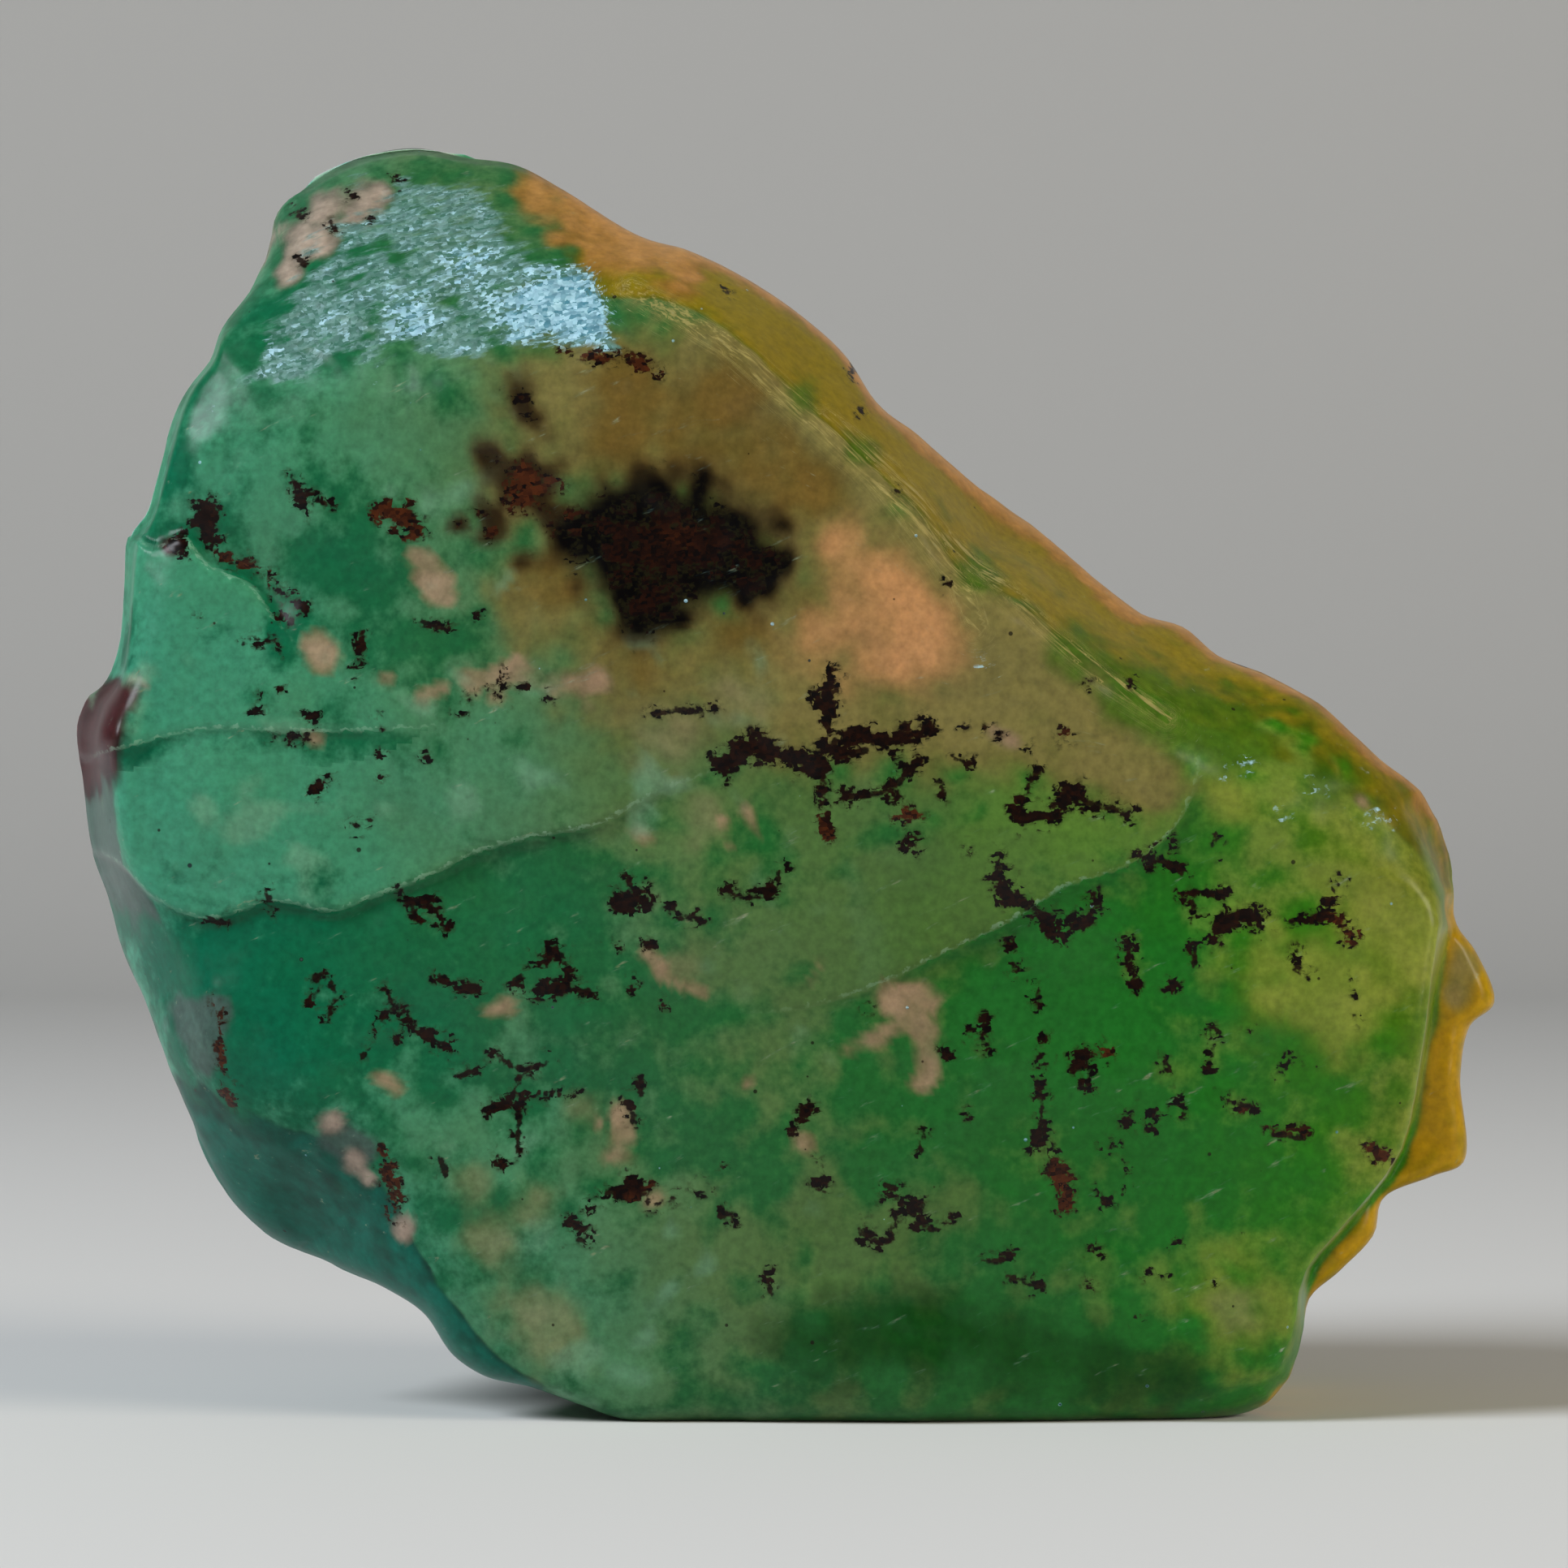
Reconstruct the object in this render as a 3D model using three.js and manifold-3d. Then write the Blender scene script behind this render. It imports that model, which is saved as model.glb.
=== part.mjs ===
// Raw emerald: one rough lump of green beryl, broken out of its rock and never cut.
//
// Frame: millimetres, +X right, +Y away from the viewer, +Z up. The stone stands on its flat base at z = 0,
// and the origin is the middle of its bounding box, at the base. Its broad broken face looks towards -Y.
//
// Form: seen from the front, a closed outline with a smaller closed brow inside it. Within the brow the stone
// is a broad, slightly domed face. From the brow to the outline it falls away, at its own slope on each
// stretch. The back is a dome cut by flatter breaks, and a rim with a blunt keel joins the two. Last, flakes
// are cut out of the face, and each leaves a step.
import * as THREE from "three";
import { mergeVertices } from "three/addons/utils/BufferGeometryUtils.js";
import Module from "manifold-3d";

// ---- Driving sizes, in mm ----

const MIDDLE = [-1, 15]; // the point that the mesh fans out from
const INNER_RINGS = 13; // rings of faces from the middle to the brow
const OUTER_RINGS = 6; // rings of faces from the brow to the outline
const RIM_ROWS = 4; // rows of faces from the front's edge to the back's
const KEEL_BEHIND = 1.1; // the rim is widest this far behind the front's edge
const RIM_SLOPE = 0.26; // how fast the rim draws in from there
const BASE_REACH = 4; // the rim stands square below this height, so that the base is flat
const CLEAR_GAIN = 0.08; // a cell is split the other way only if that is at least this much truer

// ---- Outline ----

// [x, z], clockwise from the left end of the base: up the left side, over the peak, down the long slope,
// round the three scalloped lips of the right side and back along the base.
const OUTLINE = [
  [-4.2, 0.0], [-5.6, 0.45], [-6.9, 0.9], [-8.2, 1.15], [-9.1, 1.7], [-9.9, 2.8], [-10.9, 3.4],
  [-12.5, 4.0], [-14.1, 4.5], [-15.2, 5.4], [-15.9, 6.6], [-16.7, 8.5], [-17.6, 10.9], [-18.6, 12.9],
  [-18.9, 14.2], [-19.5, 15.8], [-19.8, 17.8], [-20.0, 18.9], [-19.6, 19.7], [-18.8, 20.3],
  [-18.4, 21.4], [-18.25, 23.0], [-18.15, 24.25], [-17.6, 24.9], [-17.1, 26.6], [-16.7, 28.1],
  [-15.9, 29.2], [-15.6, 30.1], [-14.8, 31.3], [-14.4, 32.6], [-14.3, 33.5], [-13.6, 34.4],
  [-12.4, 35.2], [-10.6, 35.6], [-9.0, 35.25], [-7.6, 35.0], [-6.2, 34.2], [-4.9, 33.3], [-3.9, 32.7],
  [-2.6, 32.3], [-1.0, 31.5], [0.6, 30.4], [1.7, 29.4], [2.7, 27.9], [3.8, 27.1], [5.4, 25.8],
  [7.3, 24.5], [8.9, 23.1], [10.0, 22.2], [11.3, 21.8], [12.2, 21.0], [13.4, 20.5], [14.9, 19.6],
  [15.8, 18.8], [16.6, 18.0], [17.8, 17.1], [18.5, 15.8], [18.8, 14.2], [19.0, 13.4], [19.5, 12.7],
  [20.0, 11.25], [19.3, 10.6], [19.0, 9.2], [19.1, 6.8], [18.2, 6.4], [16.8, 5.8], [16.5, 4.8],
  [15.6, 3.8], [14.7, 3.0], [14.3, 1.8], [13.8, 0.85], [13.0, 0.2], [11.5, 0.0], [8.0, 0.0],
  [4.0, 0.0], [0.0, 0.0],
];

// ---- Front ----

// [x, z, slope], clockwise; the slope is how many mm the stone falls for each mm outside the brow.
const BROW = [
  [-5.5, 0.9, 0.8], [-7.6, 1.9, 1.0], [-8.7, 3.2, 1.2], [-9.9, 5.0, 1.2], [-10.8, 6.7, 1.15],
  [-12.4, 7.9, 1.15], [-14.2, 8.6, 1.2], [-15.3, 10.0, 1.4], [-15.8, 12.0, 1.5], [-16.8, 13.8, 1.8],
  [-17.8, 15.3, 2.4], [-18.1, 16.8, 2.7], [-18.1, 18.4, 2.6], [-17.7, 20.6, 1.7], [-17.4, 23.0, 1.3],
  [-16.9, 25.0, 1.2], [-16.2, 27.2, 1.3], [-15.3, 29.3, 1.4], [-12.6, 29.9, 1.2], [-9.0, 30.1, 1.1],
  [-5.8, 30.4, 1.15], [-3.4, 30.5, 1.5], [-1.5, 29.5, 1.8], [0.2, 27.9, 1.85], [1.9, 26.3, 1.85],
  [3.4, 24.8, 1.9], [4.8, 22.9, 1.8], [6.3, 22.1, 1.8], [7.8, 20.9, 1.7], [9.9, 19.6, 1.6],
  [12.2, 18.3, 1.2], [14.4, 17.3, 0.9], [16.4, 16.0, 1.1], [17.7, 14.2, 2.2], [17.6, 12.2, 3.4],
  [17.4, 9.8, 3.6], [16.9, 7.4, 3.4], [15.4, 5.5, 3.0], [14.3, 4.2, 3.0], [13.8, 2.4, 2.6],
  [12.8, 1.2, 1.4], [10.0, 0.8, 0.8], [5.0, 0.8, 0.7], [0.0, 0.9, 0.7],
];
const BROW_BLEND = 1.0; // how softly the face turns over the brow

// A dome: how far it stands from the middle plane at its highest point, and its drop 10 mm from there.
const FRONT_DOME = { at: [1, 14], depth: 9.3, drop: 0.4 };
const FRONT_EDGE = 0.55; // radius of the edge where the front turns into the rim

// A thinner layer shows as a lip outside the brow, from this x to the right: how far forward it reaches.
const LIP = { from: 14.2, depth: 3.4, slope: 0.16, flank: 2.5, blend: 0.6 };

// Rounded lumps on the front: centre, radius and height.
const LUMPS = [
  { at: [-19.0, 18.9], radius: 1.0, height: 1.5 },
  { at: [-17.0, 10.2], radius: 1.1, height: 0.35 },
  { at: [-12.4, 7.0], radius: 1.2, height: 0.3 },
  { at: [-13.2, 33.6], radius: 1.2, height: 0.5 },
];

// ---- Back ----

const BACK_DOME = { at: [-1, 13], depth: 9.9, drop: 0.5 };
const BACK_EDGE = 1.2;

// Flatter breaks: each passes through `depth` at [x, z] and falls away at `slope` mm per mm, in the
// direction `falls`, in degrees from +X towards +Z.
const BREAKS = [
  { at: [-9, 23], depth: 9.0, falls: 104, slope: 0.66 },
  { at: [-1, 22], depth: 9.3, falls: 52, slope: 0.78 },
  { at: [9, 13], depth: 9.2, falls: 22, slope: 0.74 },
  { at: [10, 5], depth: 9.0, falls: -28, slope: 0.8 },
  { at: [-11, 17], depth: 9.1, falls: 168, slope: 0.7 },
  { at: [-9, 9], depth: 9.1, falls: 212, slope: 0.86 },
  { at: [3, 2.6], depth: 9.4, falls: -84, slope: 0.5 },
];
const BREAK_BLEND = 2.2; // how softly the breaks meet
const LEAST_BACK = 1; // the back never comes closer than this to the middle plane

// ---- Waves that leave no face quite flat ----

// Height, wave length, direction in degrees, and shift.
const WAVES = [
  { height: 0.1, length: 11, along: 20, shift: 0.4 },
  { height: 0.09, length: 7.3, along: 105, shift: 2.1 },
  { height: 0.06, length: 4.7, along: 63, shift: 4.4 },
  { height: 0.04, length: 3.1, along: 150, shift: 1.3 },
];
const BACK_WAVES = 1.8; // the back's waves are this much higher
const BACK_SHIFT = 1.7; // and shifted by this

// ---- Flakes broken out of the front ----

// crest: the step's upper edge, [x, z]. From there the flake ran `reach` mm in the direction `away`, in
// degrees from +X towards +Z, getting shallower until it ran out. It also dies out over a share of the crest
// at each end, given by `ends`.
const FLAKES = [
  {
    name: "shelf",
    crest: [
      [-21.0, 15.6], [-18.3, 15.2], [-17.2, 14.3], [-15.6, 13.7], [-14.0, 14.2], [-13.2, 14.1],
      [-12.3, 13.9], [-11.2, 14.3], [-9.8, 14.8], [-8.4, 15.5], [-7.0, 15.9], [-5.0, 16.3],
      [-3.5, 17.1], [-2.0, 17.7], [-0.2, 18.6],
    ],
    away: -78, reach: 6.5, depth: 0.5, ends: [0, 0.3],
  },
  {
    name: "lens",
    crest: [
      [-2.6, 11.6], [-1.2, 11.2], [0.4, 11.3], [2.4, 11.9], [4.3, 12.8], [6.2, 13.7], [7.6, 14.6],
      [9.3, 15.2], [10.5, 16.1], [11.2, 17.4], [11.4, 19.2],
    ],
    away: -62, reach: 6, depth: 0.42, ends: [0.5, 0.25],
  },
  {
    name: "notch",
    crest: [
      [-12.7, 20.6], [-13.8, 21.9], [-14.6, 22.9], [-15.7, 23.4], [-16.4, 24.2], [-17.2, 23.9],
      [-18.0, 24.3], [-21.0, 24.9],
    ],
    away: 62, reach: 4, depth: 0.55, ends: [0.35, 0],
  },
  {
    name: "rise",
    crest: [
      [-21.0, 18.1], [-18.2, 18.3], [-16.8, 18.7], [-15.5, 18.9], [-13.0, 18.8], [-10.0, 18.9],
      [-7.0, 19.1],
    ],
    away: -86, reach: 2.6, depth: 0.22, ends: [0, 0.4],
  },
];
const FLAKE_STEP = 0.9; // spacing of the mesh along a crest
const FLAKE_ROWS = 5; // rows of faces across a flake's floor
const RUN_OUT = 0.25; // how far past the surface a floor rises, as a share of its depth
const CLEAR = 14; // a flake's solid reaches this far in front of the middle plane

// ---- Small maths ----

const radians = (degrees) => (degrees * Math.PI) / 180;
const heading = (degrees) => [Math.cos(radians(degrees)), Math.sin(radians(degrees))];
const clamp01 = (t) => Math.min(1, Math.max(0, t));
const smooth = (t) => clamp01(t) ** 2 * (3 - 2 * clamp01(t));
const mix = (a, b, t) => a + (b - a) * t;
const count = (n) => Array.from({ length: n }, (unused, k) => k);
const angleOf = ([x, z]) => Math.atan2(z - MIDDLE[1], x - MIDDLE[0]);
const reachOf = ([x, z]) => Math.hypot(x - MIDDLE[0], z - MIDDLE[1]);

function smoothMin(a, b, blend) {
  const near = Math.max(blend - Math.abs(a - b), 0) / blend;
  return Math.min(a, b) - (near * near * blend) / 4;
}

const smoothMax = (a, b, blend) => -smoothMin(-a, -b, blend);

// A smooth curve through [x, z] or [x, z, slope] corners.
function curveThrough(corners, closed) {
  const points = corners.map(([x, z, slope = 0]) => new THREE.Vector3(x, slope, z));
  return new THREE.CatmullRomCurve3(points, closed, "centripetal");
}

// ---- The brow's loop, and distance from it ----

const BROW_LOOP = curveThrough(BROW, true)
  .getPoints(BROW.length * 3)
  .slice(1)
  .map((p) => ({ x: p.x, z: p.z, slope: p.y, angle: angleOf([p.x, p.z]), reach: reachOf([p.x, p.z]) }))
  .sort((a, b) => a.angle - b.angle);

// How far the brow lies from the middle, in the direction of an angle.
function browReach(angle) {
  const turn = 2 * Math.PI;
  const after = BROW_LOOP.findIndex((p) => p.angle >= angle);
  const b = BROW_LOOP[Math.max(after, 0)];
  const a = BROW_LOOP.at(after - 1 < 0 ? -1 : after - 1);
  const span = (b.angle - a.angle + turn) % turn;
  const along = (angle - a.angle + turn) % turn;
  return mix(a.reach, b.reach, along / span);
}

// Distance outside the brow (negative inside it), and the slope of its nearest point.
function beyondBrow(x, z) {
  let nearest = { distance: Infinity, slope: 0 };
  BROW_LOOP.forEach((a, i) => {
    const b = BROW_LOOP[(i + 1) % BROW_LOOP.length];
    const [dx, dz] = [b.x - a.x, b.z - a.z];
    const t = clamp01(((x - a.x) * dx + (z - a.z) * dz) / (dx * dx + dz * dz));
    const distance = Math.hypot(x - mix(a.x, b.x, t), z - mix(a.z, b.z, t));
    if (distance < nearest.distance) nearest = { distance, slope: mix(a.slope, b.slope, t) };
  });
  const inside = reachOf([x, z]) < browReach(angleOf([x, z]));
  return { distance: inside ? -nearest.distance : nearest.distance, slope: nearest.slope };
}

// ---- Depth of the front and the back, from the middle plane y = 0 ----

function waves(x, z, shift) {
  return WAVES.reduce((sum, wave) => {
    const [c, s] = heading(wave.along);
    const turn = (2 * Math.PI * (x * c + z * s)) / wave.length;
    return sum + wave.height * Math.sin(turn + wave.shift + shift);
  }, 0);
}

function lumps(x, z) {
  return LUMPS.reduce((sum, lump) => {
    const away = Math.hypot(x - lump.at[0], z - lump.at[1]) / lump.radius;
    return sum + lump.height * Math.exp(-away * away);
  }, 0);
}

function domeDepth(dome, x, z) {
  return dome.depth - (dome.drop * ((x - dome.at[0]) ** 2 + (z - dome.at[1]) ** 2)) / 100;
}

function breakDepth(plane, x, z) {
  const [c, s] = heading(plane.falls);
  return plane.depth - plane.slope * ((x - plane.at[0]) * c + (z - plane.at[1]) * s);
}

function frontDepth(x, z) {
  const dome = domeDepth(FRONT_DOME, x, z);
  const { distance, slope } = beyondBrow(x, z);
  const face = smoothMin(dome, dome - slope * distance, BROW_BLEND);
  const lip = LIP.depth - LIP.slope * (x - LIP.from) - LIP.flank * Math.max(0, LIP.from - x);
  return smoothMax(face, lip, LIP.blend) + waves(x, z, 0) + lumps(x, z);
}

function backDepth(x, z) {
  const broken = BREAKS.reduce(
    (depth, plane) => smoothMin(depth, breakDepth(plane, x, z), BREAK_BLEND),
    domeDepth(BACK_DOME, x, z),
  );
  return Math.max(broken, LEAST_BACK) + BACK_WAVES * waves(x, z, BACK_SHIFT);
}

// ---- Places on the mesh ----

const GRID = 2 * (INNER_RINGS + OUTER_RINGS); // cells along one side of a face's mesh
const BROW_SHARE = INNER_RINGS / (INNER_RINGS + OUTER_RINGS);

// The outline's mesh has points on the outline's corners, and between them.
const OUTLINE_CURVE = curveThrough(OUTLINE, true);
const BORDER = count(4 * GRID).map((k) => {
  const p = OUTLINE_CURVE.getPoint(k / (4 * GRID));
  return [p.x, Math.max(0, p.z)];
});

// The grid's lower left corner goes where the outline crosses the diagonal from the middle.
const CORNER = BORDER.findIndex((p) => angleOf(p) < radians(-135) || angleOf(p) > 0);

// A square grid bent into a disc. The share is 0 at the middle and 1 at the outline, and the place counts
// border points clockwise from the grid's lower left corner.
function discPlace(i, j) {
  const [u, v] = [(2 * i) / GRID - 1, (2 * j) / GRID - 1];
  const share = Math.max(Math.abs(u), Math.abs(v));
  if (share === 0) return { share: 0, place: 0 };
  const [su, sv] = [u / share, v / share];
  if (su === -1) return { share, place: ((sv + 1) / 2) * GRID };
  if (sv === 1) return { share, place: (1 + (su + 1) / 2) * GRID };
  if (su === 1) return { share, place: (2 + (1 - sv) / 2) * GRID };
  return { share, place: (3 + (1 - su) / 2) * GRID };
}

function borderPoint(place) {
  const whole = Math.floor(place);
  const a = BORDER[(whole + CORNER) % BORDER.length];
  const b = BORDER[(whole + 1 + CORNER) % BORDER.length];
  return [mix(a[0], b[0], place - whole), mix(a[1], b[1], place - whole)];
}

// How far the edge has rounded away at this distance inside the outline.
function edgeDrop(inside, radius) {
  const left = 1 - clamp01(inside / radius);
  return radius * (1 - Math.sqrt(1 - left * left));
}

// The rim draws in from its keel, more and less as it goes round, and stands square at the base.
function rimInset(y, x, z) {
  const angle = angleOf([x, z]);
  const keel = KEEL_BEHIND - frontDepth(x, z);
  const slope = RIM_SLOPE * (1 + 0.4 * Math.sin(3 * angle) + 0.3 * Math.sin(7 * angle + 1));
  return slope * Math.abs(y - keel) * smooth(z / BASE_REACH);
}

// A point at `reach` from the middle towards a border point, at depth y, drawn in with the rim.
function meshPoint(border, reach, y, drawnIn) {
  const angle = angleOf(border);
  const out = reach - rimInset(y, border[0], border[1]) * drawnIn;
  return [MIDDLE[0] + Math.cos(angle) * out, y, Math.max(0, MIDDLE[1] + Math.sin(angle) * out)];
}

function frontPoint(share, place) {
  const border = borderPoint(place);
  const full = reachOf(border);
  const brow = Math.min(browReach(angleOf(border)), full * 0.97);
  const past = Math.max(0, (share - BROW_SHARE) / (1 - BROW_SHARE));
  const reach = past > 0 ? mix(brow, full, past) : (brow * share) / BROW_SHARE;
  const [x, , z] = meshPoint(border, reach, 0, 0);
  const y = edgeDrop(full - reach, FRONT_EDGE) - frontDepth(x, z);
  return meshPoint(border, reach, y, past ** 3);
}

function backPoint(share, place) {
  const border = borderPoint(place);
  const full = reachOf(border);
  const [x, , z] = meshPoint(border, full * share, 0, 0);
  const y = backDepth(x, z) - edgeDrop(full * (1 - share), BACK_EDGE);
  return meshPoint(border, full * share, y, share ** 6);
}

// ---- Mesh of the whole stone ----

// Each cell is split along its outward diagonal, unless the other one follows the surface clearly better.
function splitCell(points, [a, b, c, d], outwardAC, depthAt) {
  const mean = (axis) => (points[a][axis] + points[b][axis] + points[c][axis] + points[d][axis]) / 4;
  const wanted = depthAt(mean(0), mean(2));
  const miss = (p, q) => Math.abs(Math.abs(points[p][1] + points[q][1]) / 2 - wanted);
  const gain = outwardAC ? miss(a, c) - miss(b, d) : miss(b, d) - miss(a, c);
  const alongAC = gain > CLEAR_GAIN ? !outwardAC : outwardAC;
  return alongAC ? [[a, b, c], [a, c, d]] : [[a, b, d], [b, c, d]];
}

function stoneGeometry() {
  const points = [];
  const faces = [];
  const add = (point) => points.push(point) - 1;
  const grid = (pointAt) =>
    count(GRID + 1).map((j) =>
      count(GRID + 1).map((i) => {
        const { share, place } = discPlace(i, j);
        return add(pointAt(share, place));
      }),
    );
  const front = grid(frontPoint);
  const back = grid(backPoint);
  for (const j of count(GRID)) {
    for (const i of count(GRID)) {
      const cell = (index) => [index[j][i], index[j][i + 1], index[j + 1][i + 1], index[j + 1][i]];
      const outwardAC = 2 * i < GRID === 2 * j < GRID;
      faces.push(...splitCell(points, cell(front), outwardAC, frontDepth));
      faces.push(...splitCell(points, cell(back), outwardAC, backDepth).map(([p, q, r]) => [p, r, q]));
    }
  }

  // The grid's border, [j, i], clockwise from its lower left corner as seen from the front.
  const border = [
    ...count(GRID).map((k) => [k, 0]),
    ...count(GRID).map((k) => [GRID, k]),
    ...count(GRID).map((k) => [GRID - k, GRID]),
    ...count(GRID).map((k) => [0, GRID - k]),
  ];
  const rows = border.map(([j, i], place) => {
    const [first, last] = [points[front[j][i]][1], points[back[j][i]][1]];
    const edge = borderPoint(place);
    const between = count(RIM_ROWS - 1).map((r) => {
      return add(meshPoint(edge, reachOf(edge), mix(first, last, (r + 1) / RIM_ROWS), 1));
    });
    return [front[j][i], ...between, back[j][i]];
  });
  rows.forEach((row, k) => {
    const next = rows[(k + 1) % rows.length];
    for (const r of count(RIM_ROWS)) {
      faces.push([row[r], next[r + 1], row[r + 1]], [row[r], next[r], next[r + 1]]);
    }
  });
  return geometryOf(points, faces);
}

function geometryOf(points, faces) {
  return new THREE.BufferGeometry()
    .setAttribute("position", new THREE.Float32BufferAttribute(points.flat(), 3))
    .setIndex(faces.flat());
}

// How much of a flake's depth is left near an end of its crest. An end of 0 is open, and keeps it all.
const fadeAt = (fromEnd, end) => (end === 0 ? 1 : smooth(fromEnd / end));

// The solid that a flake takes away: its floor, and everything in front of it.
function flakeGeometry(flake) {
  const crest = curveThrough(flake.crest, false);
  const columns = Math.round(crest.getLength() / FLAKE_STEP);
  const [c, s] = heading(flake.away);
  const points = [];
  crest.getSpacedPoints(columns).forEach((start, k) => {
    const kept = fadeAt(k / columns, flake.ends[0]) * fadeAt(1 - k / columns, flake.ends[1]);
    for (let row = 0; row <= FLAKE_ROWS; row += 1) {
      const across = row / FLAKE_ROWS;
      const [x, z] = [start.x + c * flake.reach * across, start.z + s * flake.reach * across];
      const cut = (1 + RUN_OUT) * kept * (1 - across) - RUN_OUT;
      points.push([x, flake.depth * cut - frontDepth(x, z), z], [x, -CLEAR, z]);
    }
  });

  // Even points lie on the floor, and each odd point lies in front of the one before it.
  const floor = (k, row) => 2 * (k * (FLAKE_ROWS + 1) + row);
  const faces = [];
  const quad = (p, q, r, t) => faces.push([p, q, r], [p, r, t]);
  for (const k of count(columns)) {
    for (const row of count(FLAKE_ROWS)) {
      const [a, b, d, e] = [floor(k, row), floor(k + 1, row), floor(k + 1, row + 1), floor(k, row + 1)];
      quad(a, b, d, e);
      quad(a + 1, e + 1, d + 1, b + 1);
    }
    const [a, b] = [floor(k, 0), floor(k + 1, 0)];
    const [d, e] = [floor(k + 1, FLAKE_ROWS), floor(k, FLAKE_ROWS)];
    quad(a, a + 1, b + 1, b);
    quad(d, d + 1, e + 1, e);
  }
  for (const row of count(FLAKE_ROWS)) {
    const [a, b] = [floor(0, row), floor(0, row + 1)];
    const [d, e] = [floor(columns, row + 1), floor(columns, row)];
    quad(a, b, b + 1, a + 1);
    quad(d, e, e + 1, d + 1);
  }
  return geometryOf(points, faces);
}

// ---- Solids ----

const wasm = await Module();
wasm.setup();

function solidFrom(geometry) {
  const bare = geometry.clone();
  bare.deleteAttribute("normal");
  bare.deleteAttribute("uv");
  const merged = mergeVertices(bare, 1e-4);
  return new wasm.Manifold(
    new wasm.Mesh({
      numProp: 3,
      vertProperties: new Float32Array(merged.attributes.position.array),
      triVerts: new Uint32Array(merged.index.array),
    }),
  );
}

function geometryFrom(solid) {
  const mesh = solid.getMesh();
  return new THREE.BufferGeometry()
    .setAttribute("position", new THREE.Float32BufferAttribute(mesh.vertProperties, 3))
    .setIndex(new THREE.BufferAttribute(mesh.triVerts, 1));
}

const stoneSolid = FLAKES.reduce(
  (solid, flake) => solid.subtract(solidFrom(flakeGeometry(flake))),
  solidFrom(stoneGeometry()),
);

const emerald = new THREE.Mesh(
  geometryFrom(stoneSolid),
  new THREE.MeshStandardMaterial({ color: 0x3f7a55, roughness: 0.35, metalness: 0 }),
);
emerald.name = "emerald";

// The origin is the middle of the bounding box, at the base.
emerald.geometry.computeBoundingBox();
const { min, max } = emerald.geometry.boundingBox;
emerald.position.set(-(min.x + max.x) / 2, -(min.y + max.y) / 2, -min.z);

const stone = new THREE.Group();
stone.add(emerald);

export default stone;
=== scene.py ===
import math
from functools import partial

import bpy
import numpy as np
from bpy.props import FloatProperty, FloatVectorProperty, IntProperty, PointerProperty
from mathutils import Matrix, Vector, noise


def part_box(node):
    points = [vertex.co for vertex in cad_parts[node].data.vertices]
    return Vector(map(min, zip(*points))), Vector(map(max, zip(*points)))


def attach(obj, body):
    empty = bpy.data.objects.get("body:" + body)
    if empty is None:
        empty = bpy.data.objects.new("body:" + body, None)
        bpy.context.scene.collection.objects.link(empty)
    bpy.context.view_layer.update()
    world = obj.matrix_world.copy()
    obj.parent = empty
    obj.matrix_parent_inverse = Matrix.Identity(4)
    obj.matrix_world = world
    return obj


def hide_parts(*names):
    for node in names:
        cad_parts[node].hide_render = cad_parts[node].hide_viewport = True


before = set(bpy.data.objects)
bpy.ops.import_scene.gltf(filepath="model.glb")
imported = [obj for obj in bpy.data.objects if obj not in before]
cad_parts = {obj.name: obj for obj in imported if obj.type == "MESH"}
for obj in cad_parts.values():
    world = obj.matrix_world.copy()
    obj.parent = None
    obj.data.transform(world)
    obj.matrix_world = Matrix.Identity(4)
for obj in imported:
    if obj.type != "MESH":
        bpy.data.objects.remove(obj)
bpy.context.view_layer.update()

bl_info = {
    "name": "Raw emerald",
    "version": (1, 0, 0),
    "blender": (4, 5, 0),
    "location": "3D View > Sidebar > Emerald",
    "description": "Builds a rough milky emerald around its packed frame, on a pale studio sweep",
    "category": "Object",
}

# The stone's form is worked out in millimetres in the outline's own frame: x to the right, z up, and depth
# from a middle plane towards the viewer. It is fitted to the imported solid's box at the end.

MM = 0.001
STONE_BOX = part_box("emerald")


def linear(code):
    """An sRGB hex colour as the linear values that shaders take."""
    values = [int(code[i : i + 2], 16) / 255 for i in (1, 3, 5)]
    return tuple(v / 12.92 if v <= 0.04045 else ((v + 0.055) / 1.055) ** 2.4 for v in values)


# ---- The stone's form ----

MIDDLE = (-1.0, 15.0)  # the point that the mesh fans out from
BROW_SHARE = 0.7  # how far out the mesh's ring on the brow lies
KEEL_BEHIND = 1.1  # the rim is widest this far behind the front's edge
RIM_SLOPE = 0.26  # how fast the rim draws in from there
# It draws in unevenly round the stone: share, waves round it, shift.
RIM_WAVES = [(0.4, 3, 0), (0.3, 7, 1)]
# How sharply the rim's inset dies out from the outline inwards, on the front's bevels and on the back.
FRONT_FADE, BACK_FADE = 3, 6
BASE_REACH = 4.0  # the rim stands square below this height

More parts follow.
